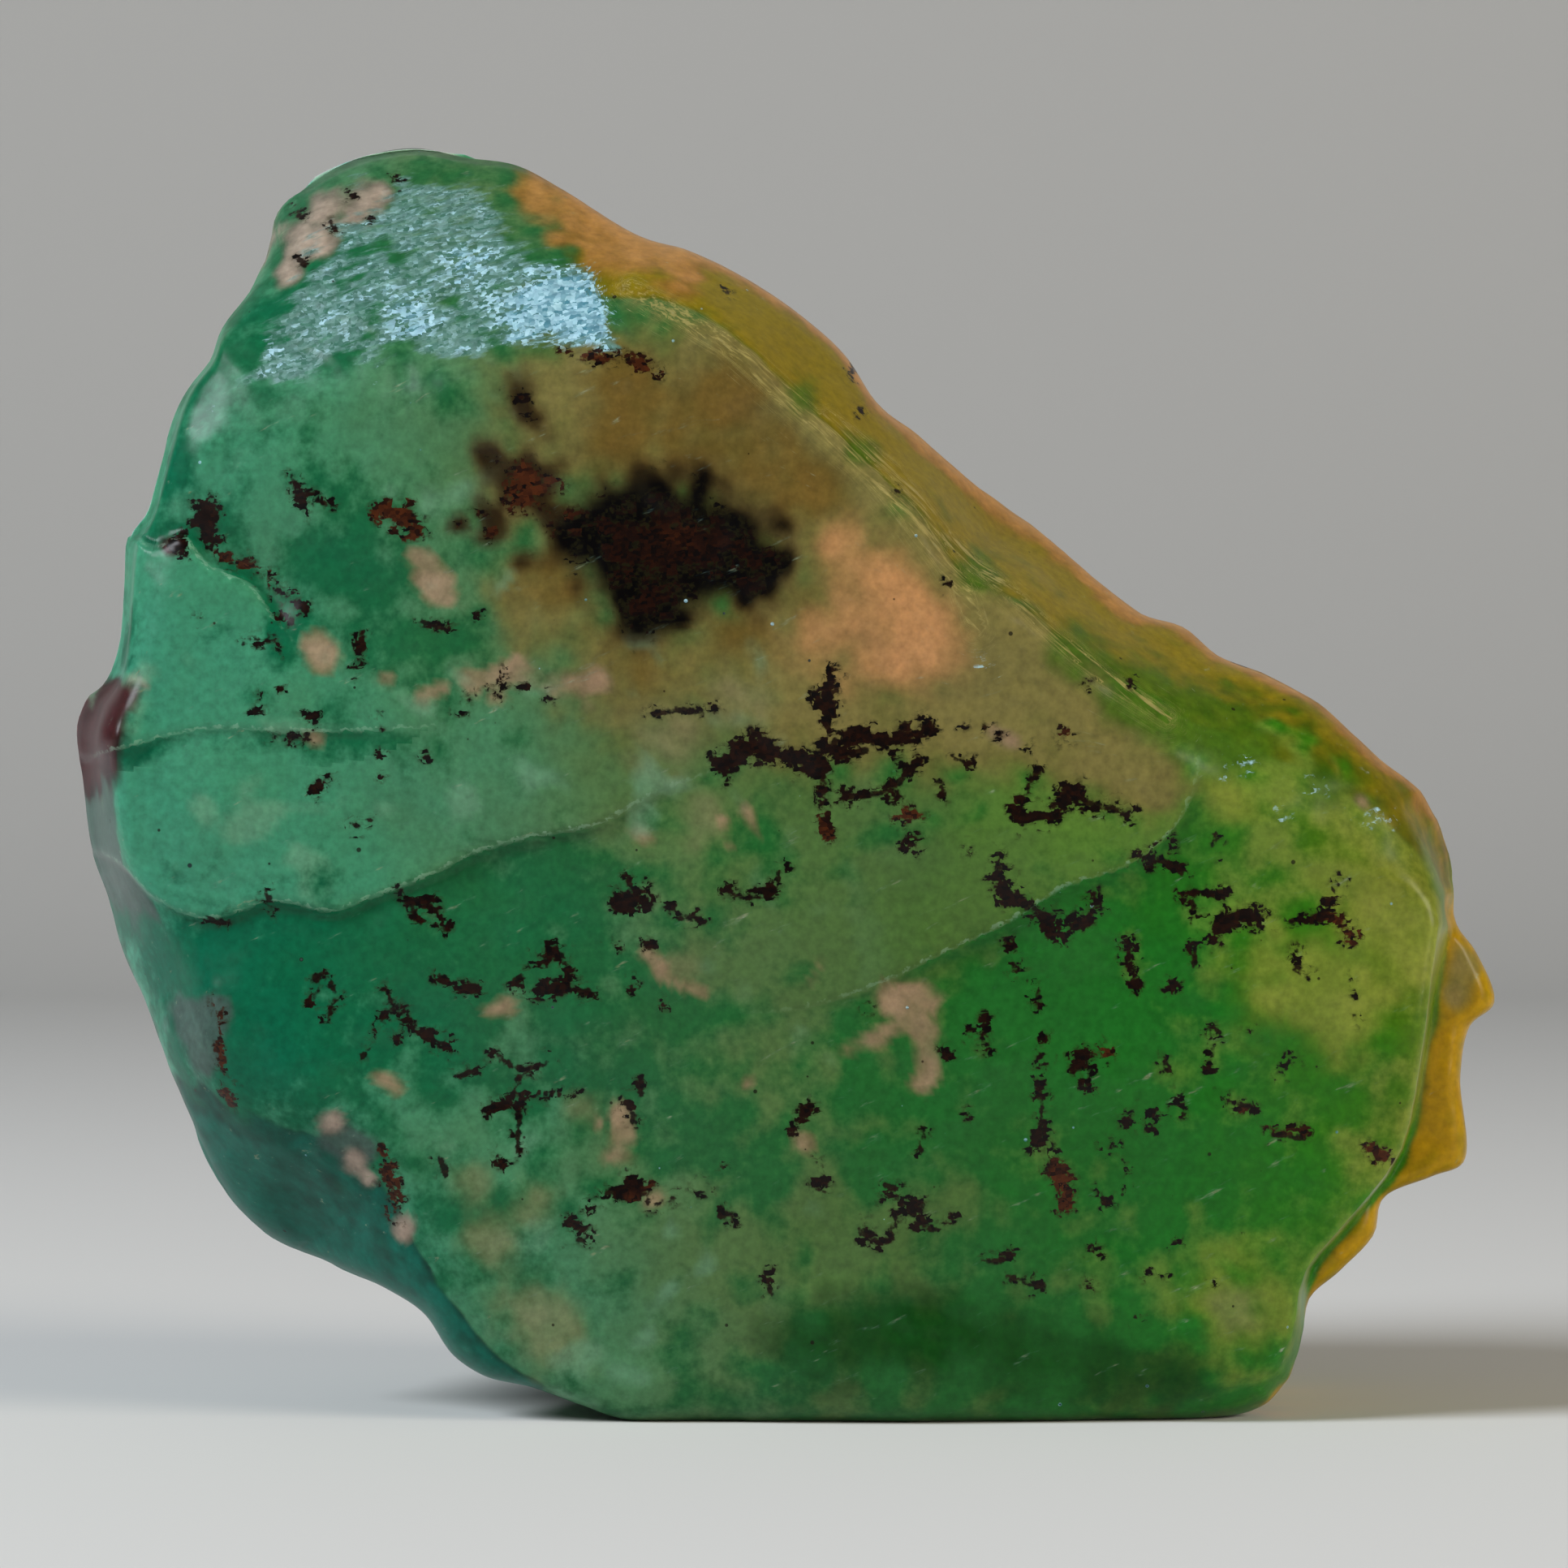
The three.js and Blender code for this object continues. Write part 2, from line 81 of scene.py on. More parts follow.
# [x, z], clockwise from the left end of the base: up the left side, over the peak, down the long slope,
# round the three scalloped lips of the right side and back along the base.
OUTLINE = [
    (-4.2, 0.0), (-5.6, 0.45), (-6.9, 0.9), (-8.2, 1.15), (-9.1, 1.7), (-9.9, 2.8), (-10.9, 3.4),
    (-12.5, 4.0), (-14.1, 4.5), (-15.2, 5.4), (-15.9, 6.6), (-16.7, 8.5), (-17.6, 10.9), (-18.6, 12.9),
    (-18.9, 14.2), (-19.5, 15.8), (-19.8, 17.8), (-20.0, 18.9), (-19.6, 19.7), (-18.8, 20.3), (-18.4, 21.4),
    (-18.25, 23.0), (-18.15, 24.25), (-17.6, 24.9), (-17.1, 26.6), (-16.7, 28.1), (-15.9, 29.2),
    (-15.6, 30.1), (-14.8, 31.3), (-14.4, 32.6), (-14.3, 33.5), (-13.6, 34.4), (-12.4, 35.2), (-10.6, 35.6),
    (-9.0, 35.25), (-7.6, 35.0), (-6.2, 34.2), (-4.9, 33.3), (-3.9, 32.7), (-2.6, 32.3), (-1.0, 31.5),
    (0.6, 30.4), (1.7, 29.4), (2.7, 27.9), (3.8, 27.1), (5.4, 25.8), (7.3, 24.5), (8.9, 23.1), (10.0, 22.2),
    (11.3, 21.8), (12.2, 21.0), (13.4, 20.5), (14.9, 19.6), (15.8, 18.8), (16.6, 18.0), (17.8, 17.1),
    (18.5, 15.8), (18.8, 14.2), (19.0, 13.4), (19.5, 12.7), (20.0, 11.25), (19.3, 10.6), (19.0, 9.2),
    (19.1, 6.8), (18.2, 6.4), (16.8, 5.8), (16.5, 4.8), (15.6, 3.8), (14.7, 3.0), (14.3, 1.8), (13.8, 0.85),
    (13.0, 0.2), (11.5, 0.0), (8.0, 0.0), (4.0, 0.0), (0.0, 0.0),
]

# (x, z, slope), clockwise; the slope is how many mm the stone falls for each mm outside the brow.
BROW = [
    (-5.5, 0.9, 0.8), (-7.6, 1.9, 1.0), (-8.7, 3.2, 1.2), (-9.9, 5.0, 1.2), (-10.8, 6.7, 1.15),
    (-12.4, 7.9, 1.15), (-14.2, 8.6, 1.2), (-15.3, 10.0, 1.4), (-15.8, 12.0, 1.5), (-16.8, 13.8, 1.8),
    (-17.8, 15.3, 2.4), (-18.1, 16.8, 2.7), (-18.1, 18.4, 2.6), (-17.7, 20.6, 1.7), (-17.4, 23.0, 1.3),
    (-16.9, 25.0, 1.2), (-16.2, 27.2, 1.3), (-15.3, 29.3, 1.4), (-12.6, 29.9, 1.2), (-9.0, 30.1, 1.1),
    (-5.8, 30.4, 1.15), (-3.4, 30.5, 1.5), (-1.5, 29.5, 1.8), (0.2, 27.9, 1.85), (1.9, 26.3, 1.85),
    (3.4, 24.8, 1.9), (4.8, 22.9, 1.8), (6.3, 22.1, 1.8), (7.8, 20.9, 1.7), (9.9, 19.6, 1.6),
    (12.2, 18.3, 1.2), (14.4, 17.3, 0.9), (16.4, 16.0, 1.1), (17.7, 14.2, 3.2), (17.6, 12.2, 7.0),
    (17.3, 9.8, 8.0), (16.8, 7.4, 8.0), (15.3, 5.5, 7.0), (14.2, 4.2, 7.0), (13.8, 2.4, 4.0),
    (12.8, 1.2, 1.4), (10.0, 0.8, 0.8), (5.0, 0.8, 0.7), (0.0, 0.9, 0.7),
]

# How softly the face turns over the brow, in mm, and where it is softer: x, z, radius, extra.
BROW_BLEND = 0.6
SOFT_BROWS = [(-14.0, 30.0, 3.5, 2.6), (-9.0, 30.5, 4.0, 2.6), (-4.5, 30.8, 2.5, 1.2), (-13.0, 7.8, 3.0, 0.8),
              (-9.0, 3.6, 3.0, 0.7), (-17.2, 24.0, 3.0, 0.6), (12.5, 18.3, 3.5, 1.6), (16.5, 15.8, 2.0, 0.8)]

# The front's dome: the place of its top, its depth there, and how far it falls 10 mm from there, in mm.
FRONT_DOME = {"at": (1, 14), "depth": 9.3, "drop": 0.4}
FRONT_EDGE = 0.55  # the radius of the front's edge, in mm
# The thin layer at the right: where it starts, its depth there, how fast it falls to the right and how
# steeply to the left, and how softly it meets the face.
LIP = {"from": 14.2, "depth": 4.4, "slope": 0.2, "flank": 2.5, "blend": 0.6}
# Rounded lumps on the front: x, z, radius, height.
LUMPS = [(-19.0, 18.9, 1.0, 1.5), (-17.0, 10.2, 1.1, 0.35), (-12.4, 7.0, 1.2, 0.3), (-13.2, 33.6, 1.2, 0.5)]

BACK_DOME = {"at": (-1, 13), "depth": 9.9, "drop": 0.5}
BACK_EDGE = 1.2  # the radius of the back's edge, in mm
# The back's flatter breaks: x, z, depth there, direction of fall in degrees, slope.
BREAKS = [
    (-9, 23, 9.0, 104, 0.66), (-1, 22, 9.3, 52, 0.78), (9, 13, 9.2, 22, 0.74), (10, 5, 9.0, -28, 0.8),
    (-11, 17, 9.1, 168, 0.7), (-9, 9, 9.1, 212, 0.86), (3, 2.6, 9.4, -84, 0.5),
]
BREAK_BLEND = 1.2  # how softly the breaks meet, in mm
LEAST_BACK = 1.0  # the back stands at least this far from the middle plane, in mm

# Gentle waves: height, wave length, direction in degrees, shift.
WAVES = [(0.1, 11, 20, 0.4), (0.09, 7.3, 105, 2.1), (0.06, 4.7, 63, 4.4), (0.04, 3.1, 150, 1.3)]
BACK_WAVES, BACK_SHIFT = 1.8, 1.7  # how much higher the back's waves are, and how far they are shifted

# Flakes broken out of the front. The crest is each step's upper edge. The flake ran `reach` mm from it in
# the direction `away`, and dies out over a share `ends` of the crest. `tint` is how far its shade reaches.
FLAKES = {
    "shelf": {
        "crest": [
            (-21.0, 15.6), (-18.3, 15.2), (-17.2, 14.3), (-15.6, 13.7), (-14.0, 14.2), (-13.2, 14.1),
            (-12.3, 13.9), (-11.2, 14.3), (-9.8, 14.8), (-8.4, 15.5), (-7.0, 15.9), (-5.0, 16.3),
            (-3.5, 17.1), (-2.0, 17.7), (-0.2, 18.6),
        ],
        "away": -78, "reach": 6.5, "depth": 0.36, "ends": (0, 0.3), "tint": 3.5,
    },
    "lens": {
        "crest": [
            (-2.6, 11.6), (-1.2, 11.2), (0.4, 11.3), (2.4, 11.9), (4.3, 12.8), (6.2, 13.7), (7.6, 14.6),
            (9.3, 15.2), (10.5, 16.1), (11.2, 17.4), (11.4, 19.2),
        ],
        "away": -62, "reach": 6.0, "depth": 0.3, "ends": (0.5, 0.25), "tint": 3.0,
    },
    "notch": {
        "crest": [
            (-12.7, 20.6), (-13.8, 21.9), (-14.6, 22.9), (-15.7, 23.4), (-16.4, 24.2), (-17.2, 23.9),
            (-18.0, 24.3), (-21.0, 24.9),
        ],
        "away": 62, "reach": 4.0, "depth": 0.5, "ends": (0.35, 0), "tint": 2.0,
    },
    "rise": {
        "crest": [
            (-21.0, 18.1), (-18.2, 18.3), (-16.8, 18.7), (-15.5, 18.9), (-13.0, 18.8), (-10.0, 18.9),
            (-7.0, 19.1),
        ],
        "away": -86, "reach": 2.6, "depth": 0.16, "ends": (0, 0.4), "tint": 0.9,
    },
}
RUN_OUT = 0.25  # how far past its full reach a flake still thins out, as a share of its depth
RISER = 0.25  # a step's riser leans over this many mm

OUTLINE_SPANS, BROW_SPANS, CREST_SPANS = 12, 3, 8  # curve points for each corner of a line
CREST_POINTS = 240  # even points along a flake's crest; every CREST_SKIPth serves for distances
CREST_SKIP = 4
BROW_MOST = 0.97  # the brow stays within this share of the way out

# The creases of the sides and the back: the ridges' height, and how deep the creases cut, in mm.
CREASE_RIDGE, WIDE_CREASES, NARROW_CREASES = 0.35, 1.1, 0.45
CRUST_LIE, CRUST_STRETCH = 0.45, 2.6  # the frosted crust's streaks: how steeply they climb, and how drawn out
BACK_FLIP = 31.0  # the back's marks are like the front's, turned over about half this height
BACK_SPAN = 6.0  # in mm, how far inside the outline the back's middle counts for the outer zones
BACK_WILD = 0.9  # how rough the back is; the sides are 1 and the front is 0
FAR = 9.0  # in mm, out of reach of every mark and step
TINY = 1e-9


def smooth(t):
    """0 to 1, with soft ends."""
    t = np.clip(t, 0, 1)
    return t * t * (3 - 2 * t)


def rising(value, start, full):
    """0 at the start and 1 where it is full, soft between."""
    return smooth((value - start) / (full - start))


def smooth_min(a, b, blend):
    """The lesser of two, rounded where they are within `blend` of each other."""
    near = np.maximum(blend - np.abs(a - b), 0) / blend
    return np.minimum(a, b) - near * near * blend / 4


def smooth_max(a, b, blend):
    return -smooth_min(-a, -b, blend)


def smooth_curve(corners, closed, per_span):
    """Points on a centripetal Catmull-Rom curve through the corners."""
    p = np.array(corners, float)
    if closed:
        p = np.vstack([p[-1:], p, p[:2]])
    else:
        p = np.vstack([2 * p[:1] - p[1:2], p, 2 * p[-1:] - p[-2:-1]])
    p0, p1, p2, p3 = p[:-3], p[1:-2], p[2:-1], p[3:]
    gap = [np.sqrt(np.linalg.norm(b - a, axis=1))[:, None] for a, b in ((p0, p1), (p1, p2), (p2, p3))]
    start = ((p1 - p0) / gap[0] - (p2 - p0) / (gap[0] + gap[1]) + (p2 - p1) / gap[1]) * gap[1]
    finish = ((p2 - p1) / gap[1] - (p3 - p1) / (gap[1] + gap[2]) + (p3 - p2) / gap[2]) * gap[1]
    t = (np.arange(per_span) / per_span)[None, :, None]
    p1, p2, start, finish = (a[:, None, :] for a in (p1, p2, start, finish))
    cubic = 2 * p1 - 2 * p2 + start + finish
    square = -3 * p1 + 3 * p2 - 2 * start - finish
    points = (p1 + start * t + square * t**2 + cubic * t**3).reshape(-1, p.shape[1])
    return points if closed else np.vstack([points, p2[-1:, 0]])


def evenly(points, count, closed):
    """Points at even spacing along a line."""
    if closed:
        points = np.vstack([points, points[:1]])
    run = np.concatenate([[0], np.cumsum(np.linalg.norm(np.diff(points[:, :2], axis=0), axis=1))])
    at = np.linspace(0, run[-1], count, endpoint=not closed)
    return np.column_stack([np.interp(at, run, points[:, k]) for k in range(points.shape[1])])


def nearest(x, z, points, closed=False):
    """Distance to a line, and how many of its segments along the nearest point is."""
    points = np.asarray(points, float)
    if closed:
        points = np.vstack([points, points[:1]])
    best = np.full(x.shape, np.inf)
    along = np.zeros(x.shape)
    for i, (a, b) in enumerate(zip(points[:-1], points[1:])):
        dx, dz = b[0] - a[0], b[1] - a[1]
        t = np.clip(((x - a[0]) * dx + (z - a[1]) * dz) / max(dx * dx + dz * dz, TINY**2), 0, 1)
        distance = np.hypot(x - a[0] - t * dx, z - a[1] - t * dz)
        closer = distance < best
        best = np.where(closer, distance, best)
        along = np.where(closer, i + t, along)
    return best, along


def within(x, z, points):
    """Whether each place lies inside a closed line."""
    inside = np.zeros(x.shape, bool)
    for a, b in zip(points, np.roll(points, -1, axis=0)):
        crosses = (a[1] > z) != (b[1] > z)
        level = np.where(crosses, (z - a[1]) / np.where(b[1] == a[1], 1, b[1] - a[1]), 0)
        inside ^= crosses & (x < a[0] + level * (b[0] - a[0]))
    return inside


BROW_LINE = smooth_curve(BROW, True, BROW_SPANS)


def beyond_brow(x, z):
    """Distance outside the brow, and the slope of its nearest stretch."""
    distance, along = nearest(x, z, BROW_LINE[:, :2], closed=True)
    slopes = np.append(BROW_LINE[:, 2], BROW_LINE[0, 2])
    slope = np.interp(along, np.arange(len(slopes)), slopes)
    return np.where(within(x, z, BROW_LINE[:, :2]), -distance, distance), slope


def waves(x, z, shift):
    """The gentle waves' height, in mm."""
    total = 0
    for height, length, along, start in WAVES:
        turn = 2 * np.pi * (x * math.cos(math.radians(along)) + z * math.sin(math.radians(along))) / length
        total = total + height * np.sin(turn + start + shift)
    return total


def pool(x, z, places):
    """Soft round patches added up; each place is x, z, radius and, if it isn't 1, height."""
    total = 0
    for cx, cz, radius, *height in places:
        total = total + math.prod(height) * np.exp(-((x - cx) ** 2 + (z - cz) ** 2) / radius**2)
    return total


def dome_depth(dome, x, z):
    """How far a dome stands from the middle plane."""
    (x0, z0), depth, drop = dome["at"], dome["depth"], dome["drop"]
    return depth - drop * ((x - x0) ** 2 + (z - z0) ** 2) / 100


def front_depth(x, z):
    """How far the front stands from the middle plane, before the flakes and the fine relief."""
    dome = dome_depth(FRONT_DOME, x, z)
    distance, slope = beyond_brow(x, z)
    face = smooth_min(dome, dome - slope * distance, BROW_BLEND + pool(x, z, SOFT_BROWS))
    lip = LIP["depth"] - LIP["slope"] * (x - LIP["from"]) - LIP["flank"] * np.maximum(0, LIP["from"] - x)
    return smooth_max(face, lip, LIP["blend"]) + waves(x, z, 0) + pool(x, z, LUMPS)


def back_depth(x, z):
    """How far the back stands from the middle plane."""
    depth = dome_depth(BACK_DOME, x, z)
    for cx, cz, at, falls, slope in BREAKS:
        turn = math.radians(falls)
        fall = slope * ((x - cx) * math.cos(turn) + (z - cz) * math.sin(turn))
        depth = smooth_min(depth, at - fall, BREAK_BLEND)
    return np.maximum(depth, LEAST_BACK) + BACK_WAVES * waves(x, z, BACK_SHIFT)


def fade_at(from_end, end):
    """How much of a flake is left near an end of its crest."""
    return np.ones_like(from_end) if end == 0 else smooth(from_end / end)


def flake_places(flake, x, z):
    """Signed distance past a flake's crest, how much of its depth is left there, and its cut in mm."""
    crest = evenly(smooth_curve(flake["crest"], False, CREST_SPANS), CREST_POINTS, closed=False)
    turn = math.radians(flake["away"])
    away, side = (math.cos(turn), math.sin(turn)), (-math.sin(turn), math.cos(turn))
    sideways = crest @ side
    order = np.argsort(sideways)
    shares = np.linspace(0, 1, CREST_POINTS)
    share = np.interp(x * side[0] + z * side[1], sideways[order], shares[order])
    foot = np.column_stack([np.interp(share, shares, crest[:, k]) for k in (0, 1)])
    past = (x - foot[:, 0]) * away[0] + (z - foot[:, 1]) * away[1]
    kept = fade_at(share, flake["ends"][0]) * fade_at(1 - share, flake["ends"][1])
    cut = (1 + RUN_OUT) * kept * (1 - past / flake["reach"]) - RUN_OUT
    cut = flake["depth"] * np.clip(cut, 0, None) * smooth((past + RISER / 2) / RISER)
    distance, _ = nearest(x, z, crest[::CREST_SKIP])
    return np.where(past > 0, distance, -distance), kept, cut


# Noise through the stone: its height, the size of its largest lumps in mm, its octaves, and where it starts.
NOISES = {
    "back": (0.16, 3.0, 5, 0.0),
    "rim": (0.2, 2.4, 5, 7.0),
    "wide creases": (0.4, 6.0, 2, 113.0),
    "narrow creases": (0.4, 2.6, 2, 127.0),
    "grain": (1.0, 1.7, 3, 0.0),
    "fine grain": (0.8, 0.5, 1, 3.0),
    "crust": (1.0, 0.4, 2, 5.0),
    "right": (0.4, 5.0, 3, 91.0),
    "up": (0.4, 5.0, 3, 97.0),
    "breaks": (0.4, 3.4, 4, 103.0),
    "spots": (0.4, 1.6, 3, 109.0),
    "clouds": (0.4, 3.6, 3, 11.0),
    "mottles": (0.4, 1.1, 2, 23.0),
    "swell": (0.4, 0.55, 1, 37.0),
    "sugar": (0.4, 0.47, 1, 51.0),
    "flecks": (0.4, 1.5, 2, 81.0),
    "patches": (0.4, 2.2, 2, 67.0),
}
ROUGHNESS, FINER = 0.9, 2.1  # how fast the octaves fade, and how much finer each is than the last


def grown(name, x, y, z):
    """The named noise at each place."""
    height, size, octaves, start = NOISES[name]
    values = [
        noise.fractal((a / size + start, b / size, c / size), ROUGHNESS, FINER, octaves)
        for a, b, c in zip(x.tolist(), y.tolist(), z.tolist())
    ]
    return height * np.array(values)


# ---- The stone's mesh ----


def disc_places(cells):
    """A square grid bent into a disc: how far out each point is, and how far round, clockwise."""
    u, v = np.meshgrid(np.linspace(-1, 1, cells + 1), np.linspace(-1, 1, cells + 1))
    share = np.maximum(np.abs(u), np.abs(v))
    su, sv = u / np.maximum(share, TINY), v / np.maximum(share, TINY)
    turn = np.select(
        [su <= TINY - 1, sv >= 1 - TINY, su >= 1 - TINY],
        [(sv + 1) / 2, 1 + (su + 1) / 2, 2 + (1 - sv) / 2],
        3 + (1 - su) / 2,
    )
    return share.ravel(), (turn / 4).ravel() % 1


def stone_border(count):
    """Points round the outline, clockwise from where the diagonal of the mesh meets it."""
    line = smooth_curve(OUTLINE, True, OUTLINE_SPANS)
    line[:, 1] = np.maximum(line[:, 1], 0)
    angle = np.arctan2(line[:, 1] - MIDDLE[1], line[:, 0] - MIDDLE[0])
    first = int(np.argmax((angle < math.radians(-135)) | (angle > 0)))
    return evenly(np.roll(line, -first, axis=0), count, closed=True)


def on_border(border, place):
    """Points of the outline, by how far round it they are."""
    closed = np.vstack([border, border[:1]])
    at = place * len(border)
    return np.column_stack([np.interp(at, np.arange(len(closed)), closed[:, k]) for k in (0, 1)])


def polar(points):
    """Direction and distance from the middle."""
    dx, dz = points[:, 0] - MIDDLE[0], points[:, 1] - MIDDLE[1]
    return np.arctan2(dz, dx), np.hypot(dx, dz)


def edge_drop(inside, radius):
    """How far a rounded edge falls, at places inside the outline."""
    left = 1 - np.clip(inside / radius, 0, 1)
    return radius * (1 - np.sqrt(1 - left * left))


def rim_inset(y, edge):
    """How far the rim has drawn in at depth y, by a point of the outline."""
    angle, _ = polar(edge)
    keel = KEEL_BEHIND - front_depth(edge[:, 0], edge[:, 1])
    slope = RIM_SLOPE * (1 + sum(share * np.sin(turns * angle + shift) for share, turns, shift in RIM_WAVES))
    return slope * np.abs(y - keel) * smooth(edge[:, 1] / BASE_REACH)


def towards(edge, reach):
    """Places this far from the middle, towards points of the outline."""
    angle, _ = polar(edge)
    return MIDDLE[0] + np.cos(angle) * reach, MIDDLE[1] + np.sin(angle) * reach


def brow_reach(edge):
    """How far the brow lies from the middle, towards each point of the outline."""
    angle, full = polar(edge)
    brow_angle, reach = polar(BROW_LINE)
    order = np.argsort(brow_angle)
    return np.minimum(np.interp(angle, brow_angle[order], reach[order], period=2 * np.pi), full * BROW_MOST)


def front_points(border, cells):
    """The front's places, their distance inside the outline, and its points."""
    share, place = disc_places(cells)
    edge = on_border(border, place)
    _, full = polar(edge)
    brow = brow_reach(edge)
    past = np.clip((share - BROW_SHARE) / (1 - BROW_SHARE), 0, 1)
    reach = np.where(past > 0, brow + (full - brow) * past, brow * share / BROW_SHARE)
    x, z = towards(edge, reach)
    y = edge_drop(full - reach, FRONT_EDGE) - front_depth(x, z)
    out_x, out_z = towards(edge, reach - rim_inset(y, edge) * past**FRONT_FADE)
    return x, z, full - reach, np.column_stack([out_x, y, out_z])


def back_points(border, cells):
    """The back's places, how far out they are as a share, and its points."""
    share, place = disc_places(cells)
    edge = on_border(border, place)
    _, full = polar(edge)
    x, z = towards(edge, full * share)
    y = back_depth(x, z) - edge_drop(full * (1 - share), BACK_EDGE)
    out_x, out_z = towards(edge, full * share - rim_inset(y, edge) * share**BACK_FADE)
    return x, z, share, np.column_stack([out_x, y, out_z])


def grid_border(cells):
    """A grid's border points, clockwise from its lower left corner."""
    side = np.arange(cells)
    rows = np.concatenate([side, np.full(cells, cells), cells - side, np.zeros(cells, int)])
    columns = np.concatenate([np.zeros(cells, int), side, np.full(cells, cells), cells - side])
    return rows * (cells + 1) + columns


def grid_faces(cells, first, flip):
    """Triangles whose long edges run outwards from the grid's middle, as its diagonals do."""
    row, column = np.meshgrid(np.arange(cells), np.arange(cells), indexing="ij")
    a = first + (row * (cells + 1) + column).ravel()
    b, c, d = a + 1, a + cells + 2, a + cells + 1
    rising_side = (((row >= cells / 2) == (column >= cells / 2)).ravel())[:, None]
    pairs = np.where(rising_side, np.column_stack([a, b, c, a, c, d]), np.column_stack([a, b, d, b, c, d]))
    triangles = pairs.reshape(-1, 3)
    return (triangles[:, ::-1] if flip else triangles).tolist()


def rim_points(edge, first_y, last_y, rows):
    """The rows of points between the front's ring and the back's, at every second point of the outline."""
    angle, full = polar(edge)
    rim = []
    for row in range(1, rows):
        y = first_y + (last_y - first_y) * row / rows
        x, z = towards(edge, full - rim_inset(y, edge))
        rough = grown("rim", x, y, z) - creases(x, y, z)
        rough = rough * math.sin(math.pi * row / rows) * smooth(z / BASE_REACH)
        rim.append(np.column_stack([x + np.cos(angle) * rough, y, z + np.sin(angle) * rough]))
    return np.vstack(rim)


def rim_faces(front_ring, rings):
    """Triangles from the front's ring to the rim's first, which has half its points, then quads."""
    faces = []
    count = len(rings[0])
    for k in range(count):
        after = (k + 1) % count
        a, b, c = front_ring[2 * k], front_ring[2 * k + 1], front_ring[(2 * k + 2) % (2 * count)]
        d, e = rings[0][k], rings[0][after]
        faces += [[a, b, d], [b, e, d], [b, c, e]]
        faces += [[row[k], row[after], below[after], below[k]] for row, below in zip(rings[:-1], rings[1:])]
    return faces


def stone_mesh(settings):
    """The whole stone's vertices and faces, in mm, and its marks' fields by name."""
    fine = settings.front_cells
    coarse = fine // 2
    border = stone_border(4 * fine)
    x, z, inside, front = front_points(border, fine)
    back_x, back_z, share, back = back_points(border, coarse)
    drawn = drawn_places(x, front[:, 1], z)
    front[:, 1] += front_relief(x, z, drawn, settings)
    back[:, 1] += grown("back", *back.T) - creases(*back.T) * (1 - share**4)

    ring_fine, ring_coarse = grid_border(fine), grid_border(coarse)
    rows = settings.rim_rows
    edge = border[::2]
    first_y, last_y = front[ring_fine[::2], 1], back[ring_coarse, 1]
    rim = rim_points(edge, first_y, last_y, rows)
    points = np.vstack([front, back, rim])
    points[:, 2] = np.maximum(points[:, 2], 0)

    back_first = len(front)
    count = len(ring_coarse)
    rim_first = back_first + len(back)
    rings = [rim_first + count * row + np.arange(count) for row in range(rows - 1)]
    rings.append(back_first + ring_coarse)
    faces = grid_faces(fine, 0, False) + grid_faces(coarse, back_first, True) + rim_faces(ring_fine, rings)

    rim_x, rim_z = (np.tile(edge[:, k], rows - 1) for k in (0, 1))
    behind = rim[:, 1] - np.tile(first_y, rows - 1)
    sides = [
        {
            **zone_fields(x, z, inside, 1.0, drawn),
            **mark_fields(*drawn),
            **step_fields(x, z, inside),
            "wild": np.zeros(x.shape),
        },
        {
            **far_fields(back_x, back_z, BACK_SPAN * (1 - share), share**8, back, FAR),
            **mark_fields(-back_x, BACK_FLIP - back_z),
            **no_steps(back_x),
            "wild": np.full(back_x.shape, BACK_WILD),
        },
        {
            **far_marks(rim_x),
            **far_fields(rim_x, rim_z, 0.0, 1.0, rim, behind),
            **no_steps(rim_x),
            "wild": np.ones(rim_x.shape),
        },
    ]
    fields = {name: np.concatenate([side[name] for side in sides]) for name in sides[0]}
    fields = body_fields(points, fields)
    for name in ("clear", "cloudy"):
        fields[name] = fields[name] * np.array(settings.cast)
    return points, [[int(v) for v in face] for face in faces], fields


def creases(x, y, z):
    """How far the rough breaks of the sides and the back dip between their sharp ridges, in mm."""
    wide, narrow = (grown(name, x, y, z) for name in ("wide creases", "narrow creases"))
    return CREASE_RIDGE - WIDE_CREASES * np.abs(wide) - NARROW_CREASES * np.abs(narrow)


def drawn_places(x, y, z):
    """Where places on the front lie in the flat drawing of the marks; the dome is nearer, so they spread."""
    spread = DRAWN_FROM / (DRAWN_FROM + y - DRAWN_PLANE)
    return x * spread, DRAWN_LEVEL + (z - DRAWN_LEVEL) * spread


def front_relief(x, z, drawn, settings):
    """The flakes' cuts and the fine relief of the front, added to y in mm."""
    cuts = [flake_places(flake, x, z)[2] for flake in FLAKES.values()]
    cut = np.max(cuts, axis=0)
    flat = np.zeros_like(x)
    grain = settings.grain / MM * (grown("grain", x, flat, z) + grown("fine grain", x, flat, z))
    up, right = math.sin(CRUST_LIE), math.cos(CRUST_LIE)
    crust = grown("crust", (x * right + z * up) / CRUST_STRETCH, flat, z * right - x * up)
    return cut + grain + settings.crust / MM * frost_cover(*drawn) * crust


def frost_cover(x, z):
    """1 on the frosted slope, 0 off it."""
    distance, _ = nearest(x, z, FROSTED, closed=True)
    inside = np.where(within(x, z, np.array(FROSTED)), distance, -distance)
    return rising(inside, -0.3, 1.2)


# ---- Marks in the front, (x, z) in mm ----

# The marks are drawn flat on the plane y = DRAWN_PLANE, as they look from DRAWN_FROM in front of it, at the
# height DRAWN_LEVEL.
DRAWN_FROM, DRAWN_LEVEL, DRAWN_PLANE = 185.0, 17.4, -1.0

